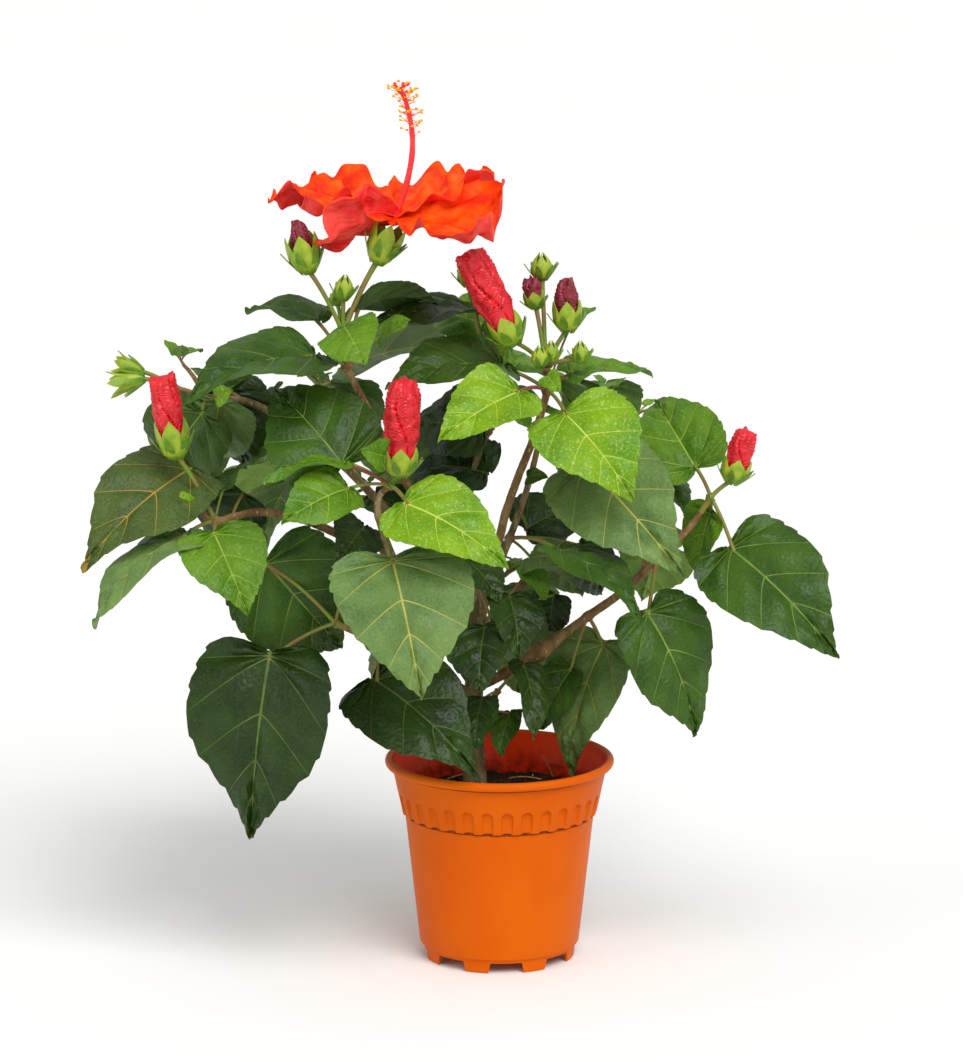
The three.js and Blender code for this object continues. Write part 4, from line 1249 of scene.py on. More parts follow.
@dataclass(frozen=True)
class BladeForm:
    """A blade's mesh: its rows, told by t as in leaf_edge, its columns, teeth, veins and relief."""

    veins: tuple[float, ...] = (0.16, 0.34, 0.5, 0.62, 0.73, 0.83, 0.92)
    columns: tuple[float, ...] = (0, 0.12, 0.27, 0.42, 0.57, 0.72, 0.87, 1)
    plain_rows: tuple[float, ...] = (0.015, 0.05, 0.1, 0.2)
    last_rows: tuple[float, ...] = (0.965, 0.982, 0.995)
    teeth: int = 10
    teeth_span: Pair = (0.24, 0.92)
    tooth: Outline = ((0.0, 0.0), (0.4, 0.8), (0.78, 1.0))
    tooth_height: float = 0.022
    vein_clearance: float = 0.2
    point_start: float = 0.55
    point_power: float = 0.62
    point_lengths: Pair = (30, 80)
    vein_half_widths: Pair = (0.35, 0.09)
    rib_half_widths: Pair = (0.64, 0.18)
    usual_length: float = 80
    sink: float = 0.25
    puff: float = 0.034
    quilt: float = 0.45
    quilt_waves: float = 2.3
    ruffle: float = 0.03
    ruffle_waves: float = 2.4
    ruffle_spread: Pair = (0.6, 1.7)
    fold: float = 0.12
    droop: float = 0.08
    droop_spread: Pair = (0.2, 1.6)
    twist: float = 0.2
    bend: float = 0.04
    thickness: float = 0.4
    rib_thickness: float = 1.0
    vein_thickness: float = 0.3
    aged_from: float = 0.9

    def marks(self) -> tuple[Array, Array, Array, Array, Array]:
        """Places the rows: those of teeth, and two for each vein.

        Returns:
            Each row's t, its tooth height, which edge of a vein it is (-1 or 1, or 0 for none), its shift by
            each vein's half-width, and how puffed it is, from 0 on a vein to 1 midway between two.
        """
        step = (self.teeth_span[1] - self.teeth_span[0]) / self.teeth
        marks = [(t, 0.0) for t in self.plain_rows]
        for i in range(self.teeth):
            marks.extend((self.teeth_span[0] + step * (i + phase), height) for phase, height in self.tooth)
        marks.extend((t, 0.0) for t in self.last_rows)
        t, heights = np.array(marks).T
        veins = np.array(self.veins)
        vein_heights = np.interp(veins, t, heights)
        free = np.abs(t[:, None] - veins[None]).min(axis=1) > self.vein_clearance * step
        edges = np.concatenate([np.zeros(free.sum()), np.full(len(veins), -1), np.full(len(veins), 1)])
        heights = np.concatenate([heights[free], vein_heights, vein_heights])
        t = np.concatenate([t[free], veins, veins])
        order = np.lexsort((edges, t))
        t, heights, edges = t[order], heights[order], edges[order]
        ends = np.concatenate([[0], veins, [1]])
        gap = np.clip(np.searchsorted(ends, t, side="right") - 1, 0, len(veins))
        share = (t - ends[gap]) / (ends[gap + 1] - ends[gap])
        shifts = np.zeros((len(t), len(ends)))
        rows, plain = np.arange(len(t)), edges == 0
        own = np.searchsorted(veins, t)
        shifts[rows, gap] = np.where(plain, 1 - share, 0)
        shifts[rows, gap + 1] -= np.where(plain, share, 0)
        shifts[rows[~plain], own[~plain] + 1] = edges[~plain]
        return t, heights, edges, shifts[:, 1:-1], np.where(plain, np.sin(math.pi * share), 0)

    def plane(self, leaf: Leaf, t: Array) -> Array:
        """Points of one half of the flat blade, without teeth.

        Args:
            leaf: the leaf.
            t: the rows.

        Returns:
            Millimetres along and aside, by row and column.
        """
        s = np.array(self.columns)[None]
        u_edge, x_edge = leaf_edge(t)
        point = self.point_power * np.interp(leaf.length, self.point_lengths, (0.2, 1))
        x_edge = x_edge * np.clip((1 - u_edge) / (1 - self.point_start), 0, 1) ** point
        # Rows leave the rib close together up to the widest row, and then run on to the tip
        late = np.clip((t - 0.5) / 0.5, 0, 1)
        start = np.where(t < 0.5, 0.08 * t, 0.04 + 0.96 * late * (1.25 - 0.25 * late**2))
        size = leaf.length / self.usual_length
        half = size * np.interp(start, [0, 1], self.rib_half_widths)
        u = start[:, None] + (u_edge - start)[:, None] * s**1.2
        return np.stack([u * leaf.length, half[:, None] + x_edge[:, None] * leaf.width * s], axis=-1)

    def half_blade(self, leaf: Leaf, t: Array, heights: Array, shifts: Array) -> Array:
        """Points of one half of the flat blade with its teeth and veins.

        Args:
            leaf: the leaf.
            t: the rows.
            heights: their tooth heights.
            shifts: their shifts by each vein's half-width.

        Returns:
            Millimetres along and aside, by row and column.
        """
        points = self.plane(leaf, t)
        veins = np.array(self.veins)
        ahead = self.plane(leaf, veins + 0.01) - self.plane(leaf, veins - 0.01)
        ahead /= np.linalg.norm(ahead, axis=-1, keepdims=True)
        size = leaf.length / self.usual_length
        widths = size * np.interp(self.columns, [0, 1], self.vein_half_widths)
        points = points + np.einsum("rv,vsk->rsk", shifts, ahead * widths[None, :, None])
        outward = points[:, -1] - points[:, 0]
        outward /= np.linalg.norm(outward, axis=-1, keepdims=True) + 1e-9
        full = np.clip(4 * leaf_edge(t)[1], 0, 1)
        points[:, -1] += outward * (heights * full * self.tooth_height * leaf.width)[:, None]
        return points

    def build(self, leaf: Leaf, seed: int) -> tuple[Array, Array, Array]:
        """Builds a leaf's closed blade.

        Args:
            leaf: the leaf.
            seed: makes its ruffles its own.

        Returns:
            The points, the quads, and each quad's part: 0 upper face, 1 vein, 2 underside.
        """
        random = np.random.default_rng(seed)
        t, heights, edges, shifts, puffed = self.marks()
        half = self.half_blade(leaf, t, heights, shifts)
        s = np.array(self.columns)
        lifts = []
        for phase in random.uniform(0, TURN, 2):
            cells = np.sin(TURN * self.quilt_waves * s[None] + phase + 5 * t[:, None])
            puff = self.puff * leaf.length * puffed[:, None] * np.sin(math.pi * s**0.8)[None]
            puff = puff * (1 + self.quilt * cells)
            ripple = np.sin(TURN * self.ruffle_waves * t + phase)[:, None]
            wave = self.ruffle * leaf.length * (s**2)[None] * ripple * random.uniform(*self.ruffle_spread)
            sink = -self.sink * ((edges != 0)[:, None] | (s == 0)[None]) * (s < 1)[None]
            lifts.append(puff + wave + sink)
        along = np.concatenate([half[:, ::-1, 0], half[..., 0]], axis=1)
        aside = np.concatenate([half[:, ::-1, 1], -half[..., 1]], axis=1)
        lift = np.concatenate([lifts[0][:, ::-1], lifts[1]], axis=1)
        u = along / leaf.length
        far = np.clip(u, 0, 1)
        lift = lift - self.droop * random.uniform(*self.droop_spread) * leaf.length * far**3
        lift = lift + self.twist * random.uniform(-1, 1) * aside * far
        lift = lift + self.fold * random.uniform(-1, 1) * np.abs(aside)
        bend = random.uniform(-self.bend, self.bend) * leaf.length * far**2
        upper = leaf.point(u, aside + bend, lift)
        size = leaf.length / self.usual_length
        s = np.concatenate([s[::-1], s])[None]
        rib = size * self.rib_thickness * (1.1 - np.clip(t, 0, 1))[:, None] * (s == 0)
        vein = self.vein_thickness * size * (edges != 0)[:, None] * (1 - s)
        lower = upper - leaf.out * (self.thickness + np.maximum(rib, vein))[..., None]
        rows, columns = u.shape
        faces, places = shell_faces(rows, columns)
        vein_rows = (edges[:-1] == -1)[places[:, 0]]
        rib_columns = places[:, 1] == columns // 2 - 1
        parts = np.where(places[:, 2] == 1, 2, 0)
        parts = np.where((places[:, 2] < 2) & (vein_rows | rib_columns), 1, parts)
        if leaf.tone is LeafTone.AGED:
            parts = np.where((t[:-1] > self.aged_from)[places[:, 0]], 1, parts)
        return np.stack([upper, lower]), faces, parts


@dataclass(frozen=True)
class Foliage:
    """Every spray's leaves, a piece for each spray."""

    plants: list[Plant]
    form: BladeForm = BladeForm()
    small_form: BladeForm = BladeForm(
        veins=(0.3, 0.6, 0.82), columns=(0, 0.3, 0.65, 1),
        plain_rows=(0.015, 0.1, 0.2), teeth=5, last_rows=(0.99,),
    )
    small_length: float = 24
    shoot_leaves: int = 3
    shoot_lengths: Pair = (5, 9)
    shoot_pitches: Pair = (30, 65)
    shoot_spread: Pair = (-30, 30)
    small_lengths: Pair = (8, 17)
    small_spread: Pair = (-25, 25)
    small_pitches: Pair = (-10, 45)
    small_petioles: Pair = (3, 7)
    small_petiole_pitch: float = 40
    small_aspect: float = 0.66
    first_seed: int = 5000

    def shoot(self, plant: Plant, number: int) -> tuple[Array, list[Leaf]]:
        """Grows a fine green shoot on from a twig's tip, with small young leaves.

        Args:
            plant: what the branch carries.
            number: the twig's, which seeds sizes and angles.

        Returns:
            The shoot's points and its leaves.
        """
        numbers = SeededNumbers(self.first_seed + 7 * (number + int(plant.branch.foot)))
        twig = plant.twigs[number]
        run = twig[-1] - twig[0]
        heading = math.degrees(math.atan2(run[1], run[0])) + numbers.between(self.shoot_spread)
        way = direction(heading, numbers.between(self.shoot_pitches))
        path = stalk_path(twig[-1], twig[-1] + way * numbers.between(self.shoot_lengths), 5)
        tone = LeafTone.YOUNG if number % 2 else LeafTone.FRESH
        leaves = []
        for k in range(self.shoot_leaves):
            aside = heading + GOLDEN_ANGLE * k + numbers.between(self.small_spread)
            sizes = (self.small_lengths, self.small_pitches, self.small_petioles)
            length, pitch, petiole = map(numbers.between, sizes)
            row = (0, petiole, aside, self.small_petiole_pitch, aside, pitch, 0, length)
            leaves.append(GROWTH.grow_leaf(path[-1 - k], LeafRow(*row, self.small_aspect * length, tone)))
        return path, leaves

    def leaves_of(self, plant: Plant) -> list[Leaf]:
        """All leaves of a branch: its own, the seeded ones and those of the fine shoots."""
        fine = [leaf for number in range(len(plant.twigs)) for leaf in self.shoot(plant, number)[1]]
        return [*plant.leaves, *plant.grown, *fine]

    def build(self) -> None:
        """Builds a piece for each spray, in place of its solid."""
        for number, plant in enumerate(self.plants):
            leaves = self.leaves_of(plant)
            tones = sorted({leaf.tone for leaf in leaves}, key=lambda tone: tone.value)
            shape = Shape()
            for k, leaf in enumerate(leaves):
                form = self.small_form if leaf.length < self.small_length else self.form
                points, faces, parts = form.build(leaf, 100 * number + k)
                shape.add(points, (faces, parts + 3 * tones.index(leaf.tone)))
            finishes = [finish for tone in tones for finish in LEAF_FINISHES[tone]]
            piece = shape.to_object(f"leaves_{plant.branch.name}", finishes)
            settle(piece, "foliage", f"spray_{plant.branch.name}")


# Stalks, by Geometry Nodes


@dataclass
class NodePiece:
    """A piece that a Geometry Nodes tree makes from rows of joined points, each with its own girth."""

    name: str
    finish: Finish
    points: list[Array] = field(default_factory=list, init=False)
    girths: list[float] = field(default_factory=list, init=False)
    edges: list[tuple[int, int]] = field(default_factory=list, init=False)

    def add(self, path: Sequence[Array], girths: Sequence[float]) -> None:
        """Adds a row of points.

        Args:
            path: the points.
            girths: a girth for each.
        """
        first = len(self.points)
        self.edges.extend((first + i, first + i + 1) for i in range(len(path) - 1))
        self.points.extend(path)
        self.girths.extend(girths)

    def sizes(self) -> dict[str, float]:
        """The tree's named inputs."""
        raise NotImplementedError

    def shape(self, tree: Tree, given: Sockets, girth: Socket) -> Socket:
        """Builds the middle of the tree from its inputs and each point's girth."""
        raise NotImplementedError

    def tree(self) -> tuple[Tree, dict[str, object]]:
        """Builds the tree, which ends in Realize Instances and Set Material.

        Returns:
            The tree, and the modifier's inputs by the sockets' identifiers.
        """
        tree = bpy.data.node_groups.new(f"{self.name}_tree", "GeometryNodeTree")
        for way in ("INPUT", "OUTPUT"):
            tree.interface.new_socket("Geometry", in_out=way, socket_type="NodeSocketGeometry")
        values = {}
        for name, value in {"Material": self.finish.material(), **self.sizes()}.items():
            kind = f"NodeSocket{type(value).__name__.capitalize()}"
            socket = tree.interface.new_socket(name, in_out="INPUT", socket_type=kind)
            values[socket.identifier] = value
        given = add_node(tree, "NodeGroupInput")
        named = {"Name": "girth"}
        girth = add_node(tree, "GeometryNodeInputNamedAttribute", named, data_type="FLOAT")[0]
        shape = self.shape(tree, given, girth)
        real = add_node(tree, "GeometryNodeRealizeInstances", {0: shape})[0]
        smooth = add_node(tree, "GeometryNodeSetShadeSmooth", {0: real})[0]
        dress = {"Geometry": smooth, "Material": given["Material"]}
        add_node(tree, "NodeGroupOutput", {0: add_node(tree, "GeometryNodeSetMaterial", dress)[0]})
        return tree, values

    def build(self, slot: str) -> None:
        """Runs the tree on the points and keeps the result as a plain mesh.

        Args:
            slot: the record's material slot.
        """
        mesh = bpy.data.meshes.new(f"{self.name}_points")
        mesh.from_pydata((np.array(self.points) * MM).tolist(), self.edges, [])
        girth = mesh.attributes.new("girth", "FLOAT", "POINT")
        girth.data.foreach_set("value", np.array(self.girths) * MM)
        piece = link_object(self.name, mesh)
        modifier = piece.modifiers.new(self.name, "NODES")
        modifier.node_group, values = self.tree()
        for identifier, value in values.items():
            modifier[identifier] = value
        keep_result(piece)
        settle(piece, slot)


@dataclass
class StalkSet(NodePiece):
    """Round stalks along paths."""

    sides: int = 8

    def sizes(self) -> dict[str, float]:
        """The number of sides."""
        return {"Sides": self.sides}

    def shape(self, tree: Tree, given: Sockets, girth: Socket) -> Socket:
        """Sweeps a ring along each path.

        Args:
            tree: the tree.
            given: its inputs' sockets by name.
            girth: each point's girth.

        Returns:
            The socket of the stalks.
        """
        curve = add_node(tree, "GeometryNodeMeshToCurve", {0: given["Geometry"]})[0]
        sized = add_node(tree, "GeometryNodeSetCurveRadius", {"Curve": curve, "Radius": girth})[0]
        round_ring = {"Resolution": given["Sides"], "Radius": 1.0}
        ring = add_node(tree, "GeometryNodeCurvePrimitiveCircle", round_ring)[0]
        sweep = {"Curve": sized, "Profile Curve": ring, "Scale": girth, "Fill Caps": True}
        return add_node(tree, "GeometryNodeCurveToMesh", sweep)[0]


@dataclass
class GrainSet(NodePiece):
    """Small rounded grains at points."""

    flatness: float = 0.7
    seed: int = 1

    def sizes(self) -> dict[str, float]:
        """How flat the grains are, and what seeds the way that they lie."""
        return {"Flatness": self.flatness, "Seed": self.seed}

    def shape(self, tree: Tree, given: Sockets, girth: Socket) -> Socket:
        """Sets a turned, flattened grain on each point.

        Args:
            tree: the tree.
            given: its inputs' sockets by name.
            girth: each point's girth.

        Returns:
            The socket of the grains.
        """
        grain = add_node(tree, "GeometryNodeMeshIcoSphere", {"Radius": 1.0, "Subdivisions": 1})[0]
        flat = {0: girth, 1: given["Flatness"]}
        thin = add_node(tree, "ShaderNodeMath", flat, operation="MULTIPLY")[0]
        scale = add_node(tree, "ShaderNodeCombineXYZ", {0: girth, 1: girth, 2: thin})[0]
        spin = {1: (6.28, 6.28, 6.28), "Seed": given["Seed"]}
        turn = add_node(tree, "FunctionNodeRandomValue", spin, data_type="FLOAT_VECTOR")[0]
        points = add_node(tree, "GeometryNodeMeshToPoints", {"Mesh": given["Geometry"]})[0]
        laid = {"Points": points, "Instance": grain, "Rotation": turn, "Scale": scale}
        return add_node(tree, "GeometryNodeInstanceOnPoints", laid)[0]


@dataclass(frozen=True)
class Stalks:
    """Petioles, twigs and bud stalks."""

    foliage: Foliage
    steps: int = 9
    usual_girth: float = 1.1
    swelling: float = 0.3
    swelling_widths: Pair = (0.08, 0.1)
    least_girth: float = 0.35
    length_share: float = 80
    blade_overlap: float = 0.05
    blade_drop: float = 0.45
    bud_overlap: float = 1.5
    bud_foot: float = 2.0
    bud_girth: float = 1.25
    flower_girth: float = 1.5
    twig_girths: Pair = (1.6, 1.0)
    shoot_girths: Pair = (1.0, 0.6)
    ruddy_tones: tuple[LeafTone, ...] = (T.YOUNG, T.AGED, T.FRESH)

    def girths(self, girth: float, foot: float = 1.0) -> Array:
        """Radii along a stalk that swells where it leaves and where it arrives.

        Args:
            girth: its radius in between.
            foot: how much of the swelling its foot has.

        Returns:
            A radius for each point.
        """
        t = np.linspace(0, 1, self.steps + 1)
        foot_width, head_width = self.swelling_widths
        swollen = foot * bell(t, foot_width) + bell(1 - t, head_width)
        return girth * (1 + self.swelling * swollen)

    def build(self) -> None:
        """Builds the stalks as green ones, ruddy ones and woody twigs."""
        green = StalkSet("green_stalks", GREEN_RIND)
        ruddy = StalkSet("ruddy_stalks", RUDDY_RIND)
        woody = StalkSet("twigs", RUDDY_BARK)
        for plant in self.foliage.plants:
            for k, leaf in enumerate(self.foliage.leaves_of(plant)):
                girth = min(self.usual_girth, self.least_girth + leaf.length / self.length_share)
                end = leaf.point(self.blade_overlap, 0.0, -self.blade_drop - 0.5 * girth)
                target = ruddy if leaf.tone in self.ruddy_tones and k % 2 else green
                target.add(stalk_path(leaf.root, end, self.steps), self.girths(girth))
            for bud in plant.buds:
                end = bud.base + bud.axis * self.bud_overlap
                girth = self.flower_girth if bud.row.kind is BudKind.FLOWER else self.bud_girth
                green.add(stalk_path(bud.root, end, self.steps), self.girths(girth, self.bud_foot))
            for path in plant.twigs:
                smooth = stalk_path(path[0], path[-1], self.steps)
                woody.add(smooth, np.linspace(*self.twig_girths, len(smooth)))
            for number in range(len(plant.twigs)):
                path = self.foliage.shoot(plant, number)[0]
                green.add(path, np.linspace(*self.shoot_girths, len(path)))
        green.build("foliage")
        ruddy.build("foliage")
        woody.build("bark")


# Limbs


@dataclass(frozen=True)
class Limbs:
    """Trunk, boughs and stems in bark with cracks, warts and swollen nodes."""

    plants: list[Plant]
    ring_gap: float = 1.5
    trunk_sides: int = 40
    bough_sides: int = 20
    crack_depths: Triple = (0.07, 0.05, 0.06)
    crack_width: float = 3.2
    crack_run: float = 4.5
    crack_density: float = 2.2
    crack_seed: float = 3.7
    bump_size: float = 7.0
    bump_seed: float = 9.1
    foot_depth: float = 1.5
    lobe: float = 0.07
    lobes: int = 3
    lobe_turn: float = 0.8
    lobe_height: float = 14
    foot_swelling: float = 0.5
    foot_reach: float = 7
    knot_place: float = 0.93
    knot_reach: float = 0.16
    node_swelling: float = 0.35
    leaf_node: float = 1.8
    twig_node: float = 2.2
    ruddy_to: float = 0.7
    green_from: float = 0.9
    ruddy: tuple[str, ...] = ("right", "centre", "left", "top_left")

    def relief(self, rings: Array, path: Array, radii: Array) -> Array:
        """Pushes rings in and out into lengthwise cracks and low bumps.

        Args:
            rings: an array of ring, point and coordinate.
            path: the rings' middles.
            radii: their radii.

        Returns:
            The rings with relief.
        """
        out = rings - path[:, None]
        length = np.linalg.norm(out, axis=-1, keepdims=True)
        run = np.concatenate([[0], np.cumsum(np.linalg.norm(np.diff(path, axis=0), axis=1))])
        rise = (run / self.crack_run)[:, None, None]
        unrolled = out / length * self.crack_width + np.array([0, 0, 1]) * rise
        cracks = rough_field(unrolled * self.crack_density, 1.0, self.crack_seed)
        bumps = rough_field(rings, self.bump_size, self.bump_seed)
        wave, sink, bump = self.crack_depths
        deep = radii[:, None] * (wave * cracks - sink * np.abs(cracks) + bump * bumps)
        return rings + out / length * deep[..., None]

    def trunk(self, shape: Shape) -> None:
        """Adds the trunk, with level sections and its root flare.

        Args:
            shape: the piece to add to.
        """
        curve = TRUNK.curve()
        low, high = curve.at(0)[2], curve.at(1)[2]
        steps = round((high - low) / self.ring_gap)
        path = curve.sample(0, 1, steps)
        path[0][2] = low - self.foot_depth
        rise = np.clip(path[:, 2] - low, 0, None)
        taper = (TRUNK.top_radius - TRUNK.foot_radius) * rise / (high - low)
        radii = TRUNK.foot_radius + taper + TRUNK.flare * np.exp(-rise / TRUNK.flare_height)
        angles = ring_angles(self.trunk_sides)
        swing = np.cos(self.lobes * angles + self.lobe_turn)
        lobes = 1 + self.lobe * np.exp(-rise / self.lobe_height)[:, None] * swing[None]
        reach = radii[:, None] * lobes
        around = np.column_stack([np.cos(angles), np.sin(angles), np.zeros_like(angles)])
        rings = path[:, None] + around[None] * reach[..., None]
        shape.add_rings(self.relief(rings, path, radii), 0)

    def limb(self, shape: Shape, plant: Plant) -> None:
        """Adds a bough and the stem that goes on from it.

        Args:
            shape: the piece to add to.
            plant: what the branch carries.
        """
        branch = plant.branch
        curve = branch.curve()
        length = np.linalg.norm(np.diff(curve.sample(0, 1, 40), axis=0), axis=1).sum()
        steps = round(length / self.ring_gap)
        path = curve.sample(0, 1, steps)
        t = np.linspace(0, 1, steps + 1)
        joint = branch.stem_place(0)
        at_foot, at_joint, at_tip = branch.radii
        if joint > 0:
            radii = np.interp(t, [0, joint, 1], [at_foot, at_joint, at_tip])
            if branch.knot:
                radii += (branch.knot - at_joint) * bell(t / joint - self.knot_place, self.knot_reach)
        else:
            radii = np.interp(t, [0, 1], [at_joint, at_tip])
        gap = np.linalg.norm(path - TRUNK.axis_at(branch.foot), axis=1)
        radii *= 1 + self.foot_swelling * bell(gap, self.foot_reach)
        nodes = [(leaf.root, self.leaf_node) for leaf in [*plant.leaves, *plant.buds]]
        for root, width in [*nodes, *((twig[0], self.twig_node) for twig in plant.twigs)]:
            radii = radii + self.node_swelling * bell(np.linalg.norm(path - root, axis=1), width)
        bark = 1 if branch.name in self.ruddy else 0
        slots = np.where(t[:-1] < branch.stem_place(self.ruddy_to), bark, 1)
        slots = np.where(t[:-1] > branch.stem_place(self.green_from), 2, slots)
        rings = ring_points(path, radii, self.bough_sides)
        shape.add_rings(self.relief(rings, path, radii), slots)

    def build(self) -> None:
        """Builds trunk, boughs and stems as one piece, in place of their solids."""
        shape = Shape()
        self.trunk(shape)
        for plant in self.plants:
            self.limb(shape, plant)
        piece = shape.to_object("limbs", [WOODY_BARK, RUDDY_BARK, GREEN_RIND], crease=80)
        boughs = [f"bough_{plant.branch.name}" for plant in self.plants if plant.branch.bough]
        settle(piece, "bark", "trunk", *boughs)


# Buds and flower


def frame_across(axis: Array) -> tuple[Array, Array]:
    """Two unit vectors across an axis.

    Args:
        axis: the axis's own.

    Returns:
        The vectors.
    """
    across = np.cross(axis, [1.0, 0.0, 0.0] if abs(axis[0]) < STEEP else [0.0, 1.0, 0.0])
    across /= np.linalg.norm(across)
    return across, np.cross(axis, across)


def rings_about(base: Array, axis: Array, heights: Array, radii: Array) -> Array:
    """Rings of points at heights along a straight axis and radii from it, both by ring and side."""
    out = ring_spokes(*frame_across(axis), heights.shape[1])
    return base + axis * heights[..., None] + out * radii[..., None]


@dataclass(frozen=True)
class Buds:
    """Calyxes with their bracts, and the rolled petals in them."""

    plants: list[Plant]
    sepals: int = 5
    sides: int = 50
    calyx_rows: int = 9
    calyx_wall: float = 0.5
    cup_share: float = 0.6
    bracts: int = 7
    bract_width: float = 4.3
    bract_rows: int = 7
    bract_rise: float = 0.66
    bract_drop: float = 0.8
    bract_wall: float = 0.5
    bract_keel: float = 0.3
    usual_radius: float = 8.5
    ribs: float = 0.05
    furrow_depth: float = 0.04
    furrow_width: float = 0.12
    least_radius: float = 0.25
    cup_floor: float = 1.0
    roll_rows: int = 90
    roll_sides: int = 70
    roll_start: float = 0.3
    roll_turn: float = 1.1
    overlap: float = 0.14
    seam_depth: float = 0.24
    seam_start: float = 0.75
    loose_mm: float = 5.0
    looseness: float = 0.1
    wrinkle_mm: float = 4.2
    wrinkle: float = 0.12
    rim_place: float = 0.9
    rim_reach: float = 0.07
    rim_lift: float = 0.25
    cup_gap: float = 0.3
    closed_profile: Outline = ((0, 0.4), (0.12, 0.8), (0.35, 1.06), (0.7, 1.12), (1, 1.04))
    pointed_profile: Outline = ((0, 0.4), (0.12, 0.78), (0.35, 1), (0.65, 0.8), (1, 0.2))
    open_profile: Outline = ((0, 0.4), (0.12, 0.7), (0.35, 0.95), (0.65, 1.05), (1, 1.5))
    roll_profile: Outline = (
        (0, 0.72), (0.12, 0.9), (0.35, 1), (0.6, 1), (0.8, 0.95), (0.9, 0.85), (0.97, 0.6), (1, 0.2),
    )
    tip_profile: Outline = (
        (0, 0.72), (0.12, 0.95), (0.35, 1.04), (0.6, 0.98), (0.8, 0.78), (0.92, 0.5), (1, 0.15),
    )

    def calyx(self, shape: Shape, bud: Bud) -> None:
        """Adds a calyx: a thin-walled cup that ends in pointed sepals.

        Args:
            shape: the piece to add to.
            bud: the bud.
        """
        row = bud.row
        profiles = {BudKind.GREEN: self.pointed_profile, BudKind.OPEN: self.open_profile}
        profile = profiles.get(row.kind, self.closed_profile)
        turn = np.arange(self.sides) / self.sides * self.sepals
        lobe = 1 - np.abs(2 * (turn % 1) - 1)
        reach = row.calyx * (self.cup_share + (1 - self.cup_share) * lobe**0.8)
        v = np.linspace(0, 1, self.calyx_rows)[:, None]
        heights = v * reach[None]
        shares, girths = np.array(profile).T
        ribs = 1 + self.ribs * np.cos(TURN * turn)[None] * np.sin(math.pi * v)
        # A furrow runs down between two sepals
        ribs = ribs - self.furrow_depth * (lobe[None] < self.furrow_width)
        radii = row.calyx_radius * np.interp(heights / row.calyx, shares, girths) * ribs
        inner = np.maximum(radii - self.calyx_wall, self.least_radius)
        heights = np.concatenate([heights, np.maximum(heights, self.cup_floor)[::-1]])
        radii = np.concatenate([radii, inner[::-1]])
        shape.add_rings(rings_about(bud.base, bud.axis, heights, radii), 0)

    def bract_ring(self, shape: Shape, bud: Bud) -> None:
        """Adds the narrow bracts that curve out below a calyx.

        Args:
            shape: the piece to add to.
            bud: the bud.
        """
        row = bud.row
        q = np.linspace(0, 1, self.bract_rows)
        rise = -self.bract_drop + row.calyx * self.bract_rise * q
        out = row.calyx_radius * (0.42 + 0.8 * np.sin(math.pi * q / 2) + 0.3 * q**3)
        size = row.calyx_radius / self.usual_radius
        half = self.bract_width / 2 * size * (0.5 + 1.6 * q) * (1.02 - q**2) * 1.1
        keel = np.array([0.0, self.bract_keel, 0.0])[:, None]
        sides = np.array([1.0, 0.0, -1.0])
        faces, _ = shell_faces(len(q), 3)
        across, up = frame_across(bud.axis)
        for i in range(self.bracts):
            angle = TURN * (i + 0.3 * math.sin(5 * i)) / self.bracts
            outward = across * math.cos(angle) + up * math.sin(angle)
            left = np.cross(outward, bud.axis)
            spine = bud.base + bud.axis * rise[:, None] + outward * out[:, None]
            upper = spine[:, None] + left * (half[:, None] * sides[None])[..., None] + outward * keel
            shape.add(np.stack([upper, upper - outward * self.bract_wall]), (faces, 1))

    def roll(self, shape: Shape, bud: Bud, slot: int) -> None:
        """Adds the petals of a bud, wound round each other, crumpled, and held in by the calyx.

        Args:
            shape: the piece to add to.
            bud: the bud.
            slot: the material slot.
        """
        row = bud.row
        q = np.linspace(0, 1, self.roll_rows)[:, None]
        start = self.roll_start * row.calyx
        turn = np.arange(self.roll_sides)[None] / self.roll_sides
        heights = start + (row.length - start) * q + 0 * turn
        shares, girths = np.array(self.tip_profile if slot else self.roll_profile).T
        radii = row.radius * np.interp(q, shares, girths) + 0 * turn
        fold = (self.sepals * turn + self.roll_turn * q + 0.12 * np.sin(9 * q + 2)) % 1
        seam = np.abs(2 * fold - 1)
        sunk = np.clip((seam - self.seam_start) / (1 - self.seam_start), 0, 1) ** 2
        radii *= 1 + self.overlap * (fold - 0.5) - self.seam_depth * sunk
        loose = rough_field(rings_about(bud.base, bud.axis, heights, radii), self.loose_mm, 2.3)
        wrinkles = np.sin(TURN * heights / self.wrinkle_mm + 5 * seam + 3.2 * loose)
        radii *= 1 + self.wrinkle * (np.abs(wrinkles) - 0.6) + self.looseness * loose
        shares, girths = np.array(self.closed_profile).T
        share = heights / row.calyx
        cup = row.calyx_radius * np.interp(share, shares, girths) - self.calyx_wall - self.cup_gap
        # Inside the calyx the roll is held in, and just above its tips it is let go
        held = np.clip((1.3 - share) / 0.3, 0, 1)
        radii -= held * np.clip(radii - cup, 0, None)
        rim = row.radius * bell(q - self.rim_place, self.rim_reach)
        heights = heights + rim * (self.rim_lift * np.cos(TURN * 5 * turn) + 0.5 * loose)
        shape.add_rings(rings_about(bud.base, bud.axis, heights, radii), slot)

    def build(self) -> None:
        """Builds all calyxes as one piece and all rolled petals as another."""
        calyxes, rolls = Shape(), Shape()
        for bud in [bud for plant in self.plants for bud in plant.buds]:
            self.calyx(calyxes, bud)
            self.bract_ring(calyxes, bud)
            if bud.row.kind in (BudKind.RED, BudKind.DARK):
                self.roll(rolls, bud, 0 if bud.row.kind is BudKind.RED else 1)
        settle(calyxes.to_object("calyxes", [SEPAL, BRACT]), "foliage")
        settle(rolls.to_object("rolled_petals", [ROLLED_PETAL, WINE_PETAL], crease=70), "foliage")


